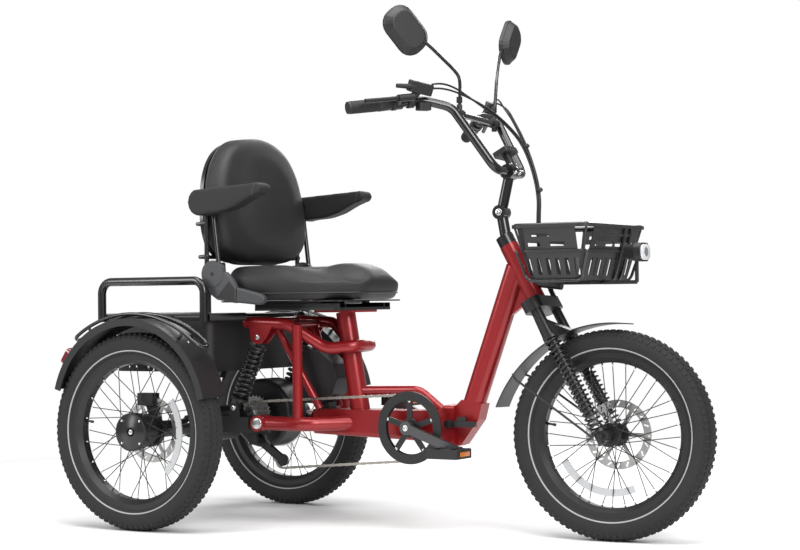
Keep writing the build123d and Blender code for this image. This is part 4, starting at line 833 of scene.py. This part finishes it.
# %% [markdown]
# The armrests are skinned foam, firm and straight. Their underside swells where the arm lies
# heaviest, and a seam runs round the nose.
# %% Armrest pads
for side in ("left", "right"):
    arm = copy_node(f"armrest_{side}", f"armrest_pad_{side}")
    remesh(arm, 0.0035)
    arm_low, arm_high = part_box(f"armrest_{side}")
    for vert in arm.data.vertices:
        forward = (vert.co.x - arm_low.x) / (arm_high.x - arm_low.x)
        height = (vert.co.z - arm_low.z) / (arm_high.z - arm_low.z)
        belly = ease(forward, 0.15, 0.5) * (1 - ease(forward, 0.6, 0.95))
        vert.co.z -= 0.012 * belly * (1 - ease(height, 0.35, 0.8))
    soften(arm, 7)
    subdivide(arm)
    finish_pad(arm, arm_foam, f"armrest_{side[0]}", f"armrest_{side}")
    seam = cut_line(arm, (arm_high.x - 0.030, 0, (arm_low.z + arm_high.z) / 2), (1, 0, -0.25))
    add_tube(f"armrest_seam_{side}", seam, 0.0009, seam_grey, f"armrest_{side[0]}", closed=True)
    print("seam points on the", side, "armrest:", len(seam))

# %% [markdown]
# ## Handlebar, mirrors and lamps
# A mirror is a rounded shell with a smaller back, on a bent stem that stands on the bar, and
# its glass looks back at the rider. The display has a dark window, the head lamp a clear lens
# over a bright bulb, and each tail lamp a red lens on its black housing.
# %% Mirrors
mirror_places = (
    # side, middle, direction of its back in degrees, foot of the stem on the bar, rise to its bend
    (-1, (0.207, -0.300, 1.311), -33, (0.2572, -0.109, 1.1170), 0.092),
    (1, (0.198, 0.285, 1.346), 7, (0.2438, 0.109, 1.1100), 0.108),
)
mirror_tip = radians(48.7)
mirror_w, mirror_h, mirror_corner = 0.132, 0.092, 0.038


def shell_back():
    """The back of a mirror shell, which narrows away from the glass."""
    back_block = bmesh.new()
    size = (mirror_w - 0.004, mirror_h - 0.004, 0.018)
    add_block(back_block, size, Matrix.Translation((0, 0, 0)), mirror_corner - 0.002)
    far = [vert for vert in back_block.verts if vert.co.z < 0]
    bmesh.ops.scale(back_block, vec=(0.80, 0.74, 1), verts=far)
    bevel(back_block, [line for line in back_block.edges if all(vert.co.z < 0 for vert in line.verts)], 0.003)
    return back_block


glasses = bmesh.new()
shells = bmesh.new()
for side, middle, heading, stem_foot, rise in mirror_places:
    middle = Vector(middle)
    ahead = Vector((cos(radians(heading)), sin(radians(heading)), 0))
    inward = Vector((0, 0, 1)).cross(ahead) * -side
    x_way = inward * cos(mirror_tip) - Vector((0, 0, sin(mirror_tip)))
    shell_place = facing(middle, x_way, -ahead)
    add_block(shells, (mirror_w, mirror_h, 0.012), shell_place, mirror_corner, 0.0025)
    shaped = mesh_from("shell_back", shell_back())
    shaped.transform(shell_place @ Matrix.Translation((0, 0, -0.0145)))
    shells.from_mesh(shaped)
    bpy.data.meshes.remove(shaped)
    add_block(
        glasses, (mirror_w - 0.014, mirror_h - 0.014, 0.0016),
        shell_place @ Matrix.Translation((0, 0, 0.0062)), mirror_corner - 0.007,
    )
    bar = Vector(stem_foot)
    elbow = bar + Vector((0.006, 0.006 * side, rise))
    rim_point = middle + inward * 0.062 - Vector((0, 0, 0.030))
    stem_path = [
        bar, bar.lerp(elbow, 0.5), bar.lerp(elbow, 0.9), elbow.lerp(rim_point, 0.12),
        elbow.lerp(rim_point, 0.6), rim_point,
        middle + inward * 0.030 - Vector((0, 0, 0.016)) + ahead * 0.010,
    ]
    add_tube(f"mirror_stem_{side_name[side]}", stem_path, 0.0046, gloss_black, "steering")
shell_piece = add_piece("mirror_shells", shells, black_plastic, "steering", False)
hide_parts("mirrors")
add_piece("mirror_glass", glasses, mirror_glass, "steering")
print("mirror tops at", [round(middle[2], 3) for _, middle, *_ in mirror_places])

# %% Display window and lamps
clamp_forward = 0.096
clamp_up = 0.744
forward_way = steer_point(1, 0, 0) - steer_point(0, 0, 0)
up_way = steer_point(0, 0, 1) - steer_point(0, 0, 0)
screen = bmesh.new()
screen_at = steer_point(clamp_forward + 0.014, 0, clamp_up + 0.0584)
add_block(screen, (0.036, 0.062, 0.0014), facing(screen_at, forward_way, up_way), 0.005)
add_piece("display_window", screen, dark_glass, "steering")

lamp_front = rear_x + 1.344
lamp_z = 0.738
lens = bmesh.new()
lens_place = facing((lamp_front + 0.0018, 0, lamp_z), (0, 0, 1), (1, 0, 0))
add_block(lens, (0.040, 0.054, 0.005), lens_place, 0.015, 0.0012)
add_piece("head_lamp_lens", lens, clear_lens, "front_end")
bulb = bmesh.new()
add_rod(bulb, (lamp_front + 0.002, 0, lamp_z), (lamp_front + 0.0052, 0, lamp_z), 0.014, 0.012, 32, 0.001)
add_piece("head_lamp_bulb", bulb, bright_steel, "front_end")

fender_centre = Vector((rear_x, 0, wheel_r + 0.046))
tail = bmesh.new()
lamp_way = slanted(146)
for side in (-1, 1):
    centre = fender_centre + Vector((0, half_track * side, 0)) + lamp_way * 0.2895
    add_block(tail, (0.048, 0.040, 0.004), facing(centre, (0, 1, 0), lamp_way), 0.010, 0.001)
add_piece("tail_lamp_lenses", tail, red_lens, "chassis")
print("head lamp lens at", round(lamp_front, 3), "in x")

# %% [markdown]
# ## Grips, clamps and screws on the steering
# Soft grips have rings that a hand can hold, with a smooth throttle sleeve inboard of them.
# The stem folds at a knuckle with a large bolt, and four screws hold the bar in its clamp.
# %% Grips and clamps
bar_end = {side: steer_point(-0.090, 0.352 * side, 1.014) for side in (-1, 1)}
bar_inner = {side: steer_point(0.039, 0.184 * side, 0.979) for side in (-1, 1)}
bar_inward = {side: (bar_inner[side] - bar_end[side]).normalized() for side in (-1, 1)}
grip_rings = bmesh.new()
sleeves = bmesh.new()
for side, inward in bar_inward.items():
    tip = bar_end[side]
    for number in range(15):
        start = tip + inward * (0.002 + number * 0.005)
        add_rod(grip_rings, start, start + inward * 0.0032, 0.0168, segments=32, edge=0.0006)
    add_rod(sleeves, tip + inward * 0.080, tip + inward * 0.116, 0.0175, 0.0165, 32, 0.001)
    add_rod(sleeves, tip + inward * 0.119, tip + inward * 0.131, 0.0185, 0.0185, 32, 0.001)
add_piece("grip_rings", grip_rings, arm_foam, "steering")
add_piece("grip_sleeves", sleeves, black_plastic, "steering")

stem_bolts = bmesh.new()
for side in (-1, 1):
    outward = steer_point(0, side, 0) - steer_point(0, 0, 0)
    screw(stem_bolts, steer_point(0.024, 0.019 * side, 0.662), outward, 0.0095, 0.003)
    for lift in (-0.013, 0.013):
        corner = steer_point(clamp_forward + 0.0145, 0.014 * side, clamp_up + lift)
        screw(stem_bolts, corner, forward_way, 0.0036, 0.008)
add_piece("stem_screws", stem_bolts, bright_steel, "steering")

bar_clamps = bmesh.new()
upright = Vector((0, 0, 1))
for side in (-1, 1):
    centre = Vector((0.2505, 0, 1.1047)) + Vector((-0.0061, 0.1, -0.0034)) * 1.09 * side
    along = Vector((-0.0611, 1, -0.0341)).normalized()
    add_rod(bar_clamps, centre - along * 0.012, centre + along * 0.012, 0.0140, segments=24, edge=0.0014)
    for low, high, radius in ((-0.022, 0.026, 0.0072), (0.030, 0.046, 0.0078)):
        add_rod(bar_clamps, centre + upright * low, centre + upright * high, radius, segments=6, edge=0.001)
add_piece("mirror_clamps", bar_clamps, black_plastic, "steering")
print("the bar ends are", round((bar_end[1] - bar_end[-1]).length, 3), "apart")

# %% [markdown]
# ## Lever bodies and control cables
# Each brake lever pivots in a moulded body that is clamped to the bar. Four housings leave the
# two bodies, cross over the bar and come together in front of the stem, where bands tie them,
# and run down beside the head tube into the crown. Each is one smooth curve, and its
# neighbours are shifted by a little more than its own thickness.
# %% Lever bodies
lever_body = {-1: Vector((0.200, -0.215, 1.172)), 1: Vector((0.172, 0.222, 1.158))}
bodies = bmesh.new()
for side, centre in lever_body.items():
    inward = bar_inward[side]
    foot_on_bar = centre + Vector((-0.032, 0, -0.034))
    add_block(bodies, (0.070, 0.026, 0.030), facing(centre, inward, (0.35, 0, 1)), 0.008, 0.003)
    add_rod(bodies, foot_on_bar, centre, 0.0105, segments=16)
    add_rod(
        bodies, foot_on_bar - inward * 0.009, foot_on_bar + inward * 0.009, 0.0170, segments=28, edge=0.0015,
    )
    switch_at = foot_on_bar + inward * 0.030 + Vector((0.010, 0, -0.016))
    add_block(bodies, (0.036, 0.030, 0.020), facing(switch_at, inward, (0, 0, 1)), 0.006, 0.002)
    tip = centre - inward * 0.080 + Vector((0.012, 0, 0.012))
    add_rod(bodies, centre - inward * 0.020 + Vector((0.010, 0, 0.004)), tip, 0.0078, 0.0056, 16, 0.0015)
add_piece("lever_bodies", bodies, black_plastic, "steering", False)
print("lever bodies:", len(lever_body))

# %% Cables and their ties
cable_r = 0.0026
cross_x, cross_z = 0.2504, 1.1044
route = (
    # forward of the steering axis, to the left, up along it
    (0.146, 0.060, 0.799), (0.131, 0.034, 0.668), (0.086, 0.030, 0.590), (0.052, 0.038, 0.530),
    (0.034, 0.047, 0.470), (0.026, 0.047, 0.425), (0.026, 0.047, 0.399),
)
leads = (
    # side it starts from, forward and up in the lever body, forward and left in the bundle
    (-1, 0.004, 0.006, 0.0, 0.0), (-1, -0.006, -0.006, 0.006, 0.0), (1, 0.004, 0.006, 0.0, 0.006),
    (1, -0.006, -0.006, 0.006, 0.006),
)
for number, (side, outlet, lift, shift, shift_left) in enumerate(leads):
    inward = bar_inward[side]
    start = lever_body[side] + inward * 0.030 + Vector((outlet, 0, lift))
    over = parked_place((cross_x + 0.030 + 0.008 * number, 0.070 * side, cross_z + 0.034))
    across = parked_place((cross_x + 0.070, 0.040 + 0.03 * side, cross_z - 0.010 + 0.006 * number))
    path = [start, start + inward * 0.040 + Vector((0, 0, 0.006)), over, across]
    path += [steer_point(forward + shift, left + shift_left, up) for forward, left, up in route]
    add_tube(f"control_cable_{number + 1}", path, cable_r, cable_skin, "steering")
ties = bmesh.new()
for (forward, left, up), spread in ((route[0], 0.0090), (route[1], 0.0085), (route[4], 0.0085)):
    add_rod(
        ties, steer_point(forward + 0.004, left + 0.003, up - 0.004),
        steer_point(forward + 0.003, left + 0.003, up + 0.004), spread, segments=18, edge=0.001,
    )
add_piece("cable_ties", ties, black_plastic, "steering")
print("control cables:", len(leads))

# %% [markdown]
# ## Drive and pedals
# Bright screws hold the chainring to its spider and the crank arms to their axle. The pedals
# carry amber reflectors front and rear.
# %% Crank screws and pedal reflectors
crank_x = front_x - 0.559
crank_z = 0.279
crank_bolts = bmesh.new()
for side in (-1, 1):
    screw(crank_bolts, (crank_x, 0.103 * side, crank_z), (0, side, 0), 0.0085, 0.003)
for number in range(5):
    angle = radians(90 + 72 * number)
    spot = (crank_x + 0.072 * cos(angle), -0.0798, crank_z + 0.072 * sin(angle))
    screw(crank_bolts, spot, (0, -1, 0), 0.0045, 0.002)
add_piece("crank_screws", crank_bolts, bright_steel, "crankset")

for side, body, node in (("left", "pedal_l", "pedal_left"), ("right", "pedal_r", "pedal_right")):
    low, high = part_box(node)
    mid = middle_of(node)
    amber = bmesh.new()
    for x in (low.x - 0.0004, high.x + 0.0004):
        add_block(amber, (0.003, 0.050, 0.012), Matrix.Translation((x, mid.y, mid.z)), edge=0.0008)
    add_piece(f"pedal_reflectors_{side}", amber, amber_lens, body, False)
    studs = bmesh.new()
    for x_share in (0.06, 0.5, 0.94):
        for y_share in (0.12, 0.37, 0.63, 0.88):
            x = low.x + (high.x - low.x) * x_share
            y = low.y + (high.y - low.y) * y_share
            add_rod(studs, (x, y, high.z - 0.0005), (x, y, high.z + 0.0017), 0.0022, 0.0016, 8)
    add_piece(f"pedal_studs_{side}", studs, black_plastic, body)
print("crank axle at", round(crank_x, 3), crank_z)

# %% [markdown]
# ## Screws on the frame and the fenders
# The swing arm's pivots end in bright caps, the shocks hang on bolts, and two screws hold the
# front foot of each fender rail.
# %% Frame screws and caps
frame_bolts = bmesh.new()
pivot_x, pivot_z = rear_x + 0.235, 0.283
shock_bolts = (
    # x, distance from the middle plane, z
    (pivot_x, 0.1358, 0.523), (rear_x + 0.149, 0.1328, 0.324),
)
for side in (-1, 1):
    add_rod(
        frame_bolts, (pivot_x, 0.1435 * side, pivot_z), (pivot_x, 0.1462 * side, pivot_z),
        0.0165, 0.0150, 32, 0.0008,
    )
    for x, y, z in shock_bolts:
        screw(frame_bolts, (x, y * side, z), (0, side, 0), 0.0075, 0.004)
    for angle in (48.5, 55.5):
        way = slanted(angle)
        spot = fender_centre + way * 0.2642 + Vector((0, half_track * side, 0))
        screw(frame_bolts, spot, way, 0.0042, 0.0028)
add_piece("frame_screws", frame_bolts, bright_steel, "chassis")
print("swing arm pivots at", round(pivot_x, 3), pivot_z)

# %% [markdown]
# ## Recliner covers and levers
# A grey cover with a round disc and a dark inset closes each recliner. A lever in front of it
# lets the backrest go. Each is a flat plate with rounded edges, drawn by its outline.
# %% Covers, insets and levers
disc_x, disc_z = -0.4634, 0.7000
cover_outline = (
    # x and z of the cover's body, from the disc down to the foot and back
    (-0.4893, 0.672), (-0.4700, 0.642), (-0.4482, 0.628), (-0.3847, 0.618), (-0.3842, 0.6603),
    (-0.3975, 0.6825), (-0.4199, 0.7049), (disc_x, disc_z),
)
inset_outline = ((-0.4482, 0.6352), (-0.4066, 0.6790), (-0.3890, 0.6600), (-0.3890, 0.6220))
lever_outline = (
    (-0.3819, 0.6621), (-0.3170, 0.6467), (-0.2960, 0.6400), (-0.2883, 0.6282), (-0.2930, 0.6170),
    (-0.3085, 0.6127), (-0.3846, 0.6199),
)


def add_plate(source, outline, inner, outer, edge):
    """A flat plate from an outline in x and z, between two distances from the middle plane."""
    verts = [source.verts.new((x, inner, z)) for x, z in outline]
    face = source.faces.new(verts)
    grown = bmesh.ops.extrude_face_region(source, geom=[face])["geom"]
    moved = [item for item in grown if isinstance(item, bmesh.types.BMVert)]
    bmesh.ops.translate(source, vec=(0, outer - inner, 0), verts=moved)
    bevel(source, {line for vert in moved for line in vert.link_edges}, edge, 3)


covers = bmesh.new()
insets = bmesh.new()
cover_levers = bmesh.new()
for side in (-1, 1):
    add_plate(covers, cover_outline, 0.2145 * side, 0.2295 * side, 0.003)
    inner, outer = ((disc_x, y * side, disc_z) for y in (0.2145, 0.2310))
    add_rod(covers, inner, outer, 0.0375, segments=48, edge=0.002)
    add_plate(insets, inset_outline, 0.2280 * side, 0.2306 * side, 0.0008)
    add_plate(cover_levers, lever_outline, 0.2150 * side, 0.2320 * side, 0.005)
    screw(insets, (disc_x, 0.2308 * side, disc_z), (0, side, 0), 0.006, 0.0012)
for source in (covers, insets, cover_levers):
    bmesh.ops.recalc_face_normals(source, faces=source.faces)
cover_piece = add_piece("recliner_shells", covers, grey_plastic, "seat", False)
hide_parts("recliner_covers")
add_piece("recliner_insets", insets, black_plastic, "seat", False)
add_piece("recliner_levers", cover_levers, lever_plastic, "seat", False)
print("recliner disc at", disc_x, disc_z)

# %% [markdown]
# ## Basket: liner and wires
# A dark liner hangs in a frame of bent wire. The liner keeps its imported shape, and slots are cut
# through its sides with a Boolean. The wires are smooth tubes outside it.
# %% Basket liner
basket_x = 0.547
slots = [
    # x, distance from the middle plane, z, width and height
    (basket_x + (number - 2.5) * 0.026, 0.155, 0.703, 0.011, 0.042) for number in range(6)
]
slots += [(0.500, 0.170, 0.760, 0.036, 0.011), (0.566, 0.170, 0.760, 0.042, 0.011),
          (0.520, 0.170, 0.783, 0.050, 0.008)]
liner = copy_node("basket", "basket_liner")
slot_cutters = bmesh.new()
for x, y, z, wide, tall in slots:
    for side in (-1, 1):
        add_block(slot_cutters, (wide, 0.060, tall), Matrix.Translation((x, y * side, z)))
cutter = link_new("slot_cutters", mesh_from("slot_cutters", slot_cutters))
cut = liner.modifiers.new("slots", "BOOLEAN")
cut.operation = "DIFFERENCE"
cut.object = cutter
bake(liner)
bpy.data.objects.remove(cutter)
liner.data.materials.clear()
liner.data.materials.append(basket_coat)
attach(liner, "front_end")
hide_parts("basket")
print("slots through the liner:", 2 * len(slots))


# %% Basket wires
def add_wire(name, points, radius=0.0040, closed=False):
    """A black wire of the basket's frame."""
    add_tube(name, points, radius, gloss_black, "front_end", closed)


def hoop(half_x, half_y, z, corner=0.030):
    """Control points of a level hoop round the basket's middle, two at each corner."""
    short_x, short_y = half_x - corner, half_y - corner
    around = (
        (half_x, -short_y), (short_x, -half_y), (short_x, half_y), (half_x, short_y),
        (-short_x, half_y), (-half_x, short_y), (-half_x, -short_y), (-short_x, -half_y),
    )
    return [(basket_x + x, y, z) for x, y in around]


loop_points = (
    # x, distance from the middle plane, z
    (0.4465, 0.165, 0.744), (0.462, 0.155, 0.700), (0.470, 0.149, 0.668), (0.500, 0.149, 0.6665),
    (0.594, 0.149, 0.6665), (0.624, 0.149, 0.668), (0.632, 0.155, 0.700), (0.6475, 0.165, 0.744),
)
post_points = (
    # x and z
    (0.600, 0.6655), (0.618, 0.6655), (0.628, 0.672), (0.648, 0.744), (0.6605, 0.8085),
)
add_wire("basket_rim", hoop(0.1135, 0.1825, 0.8085), 0.0050, True)
add_wire("basket_hoop", hoop(0.0985, 0.1680, 0.7420), closed=True)
for side in (-1, 1):
    add_wire(f"basket_loop_{side_name[side]}", [(x, y * side, z) for x, y, z in loop_points])
for number, y in enumerate((0.040, 0.078)):
    add_wire(f"basket_post_{number + 1}", [(x, y, z) for x, z in post_points])
print("basket mesh vertices", len(liner.data.vertices))

# %% [markdown]
# ## The size of the dressed model is printed.
# The dressed model has to stay in the imported model's box.
# %% Write the sizes and finish
low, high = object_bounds()
print("dressed", [round(b - a, 3) for a, b in zip(low, high)])
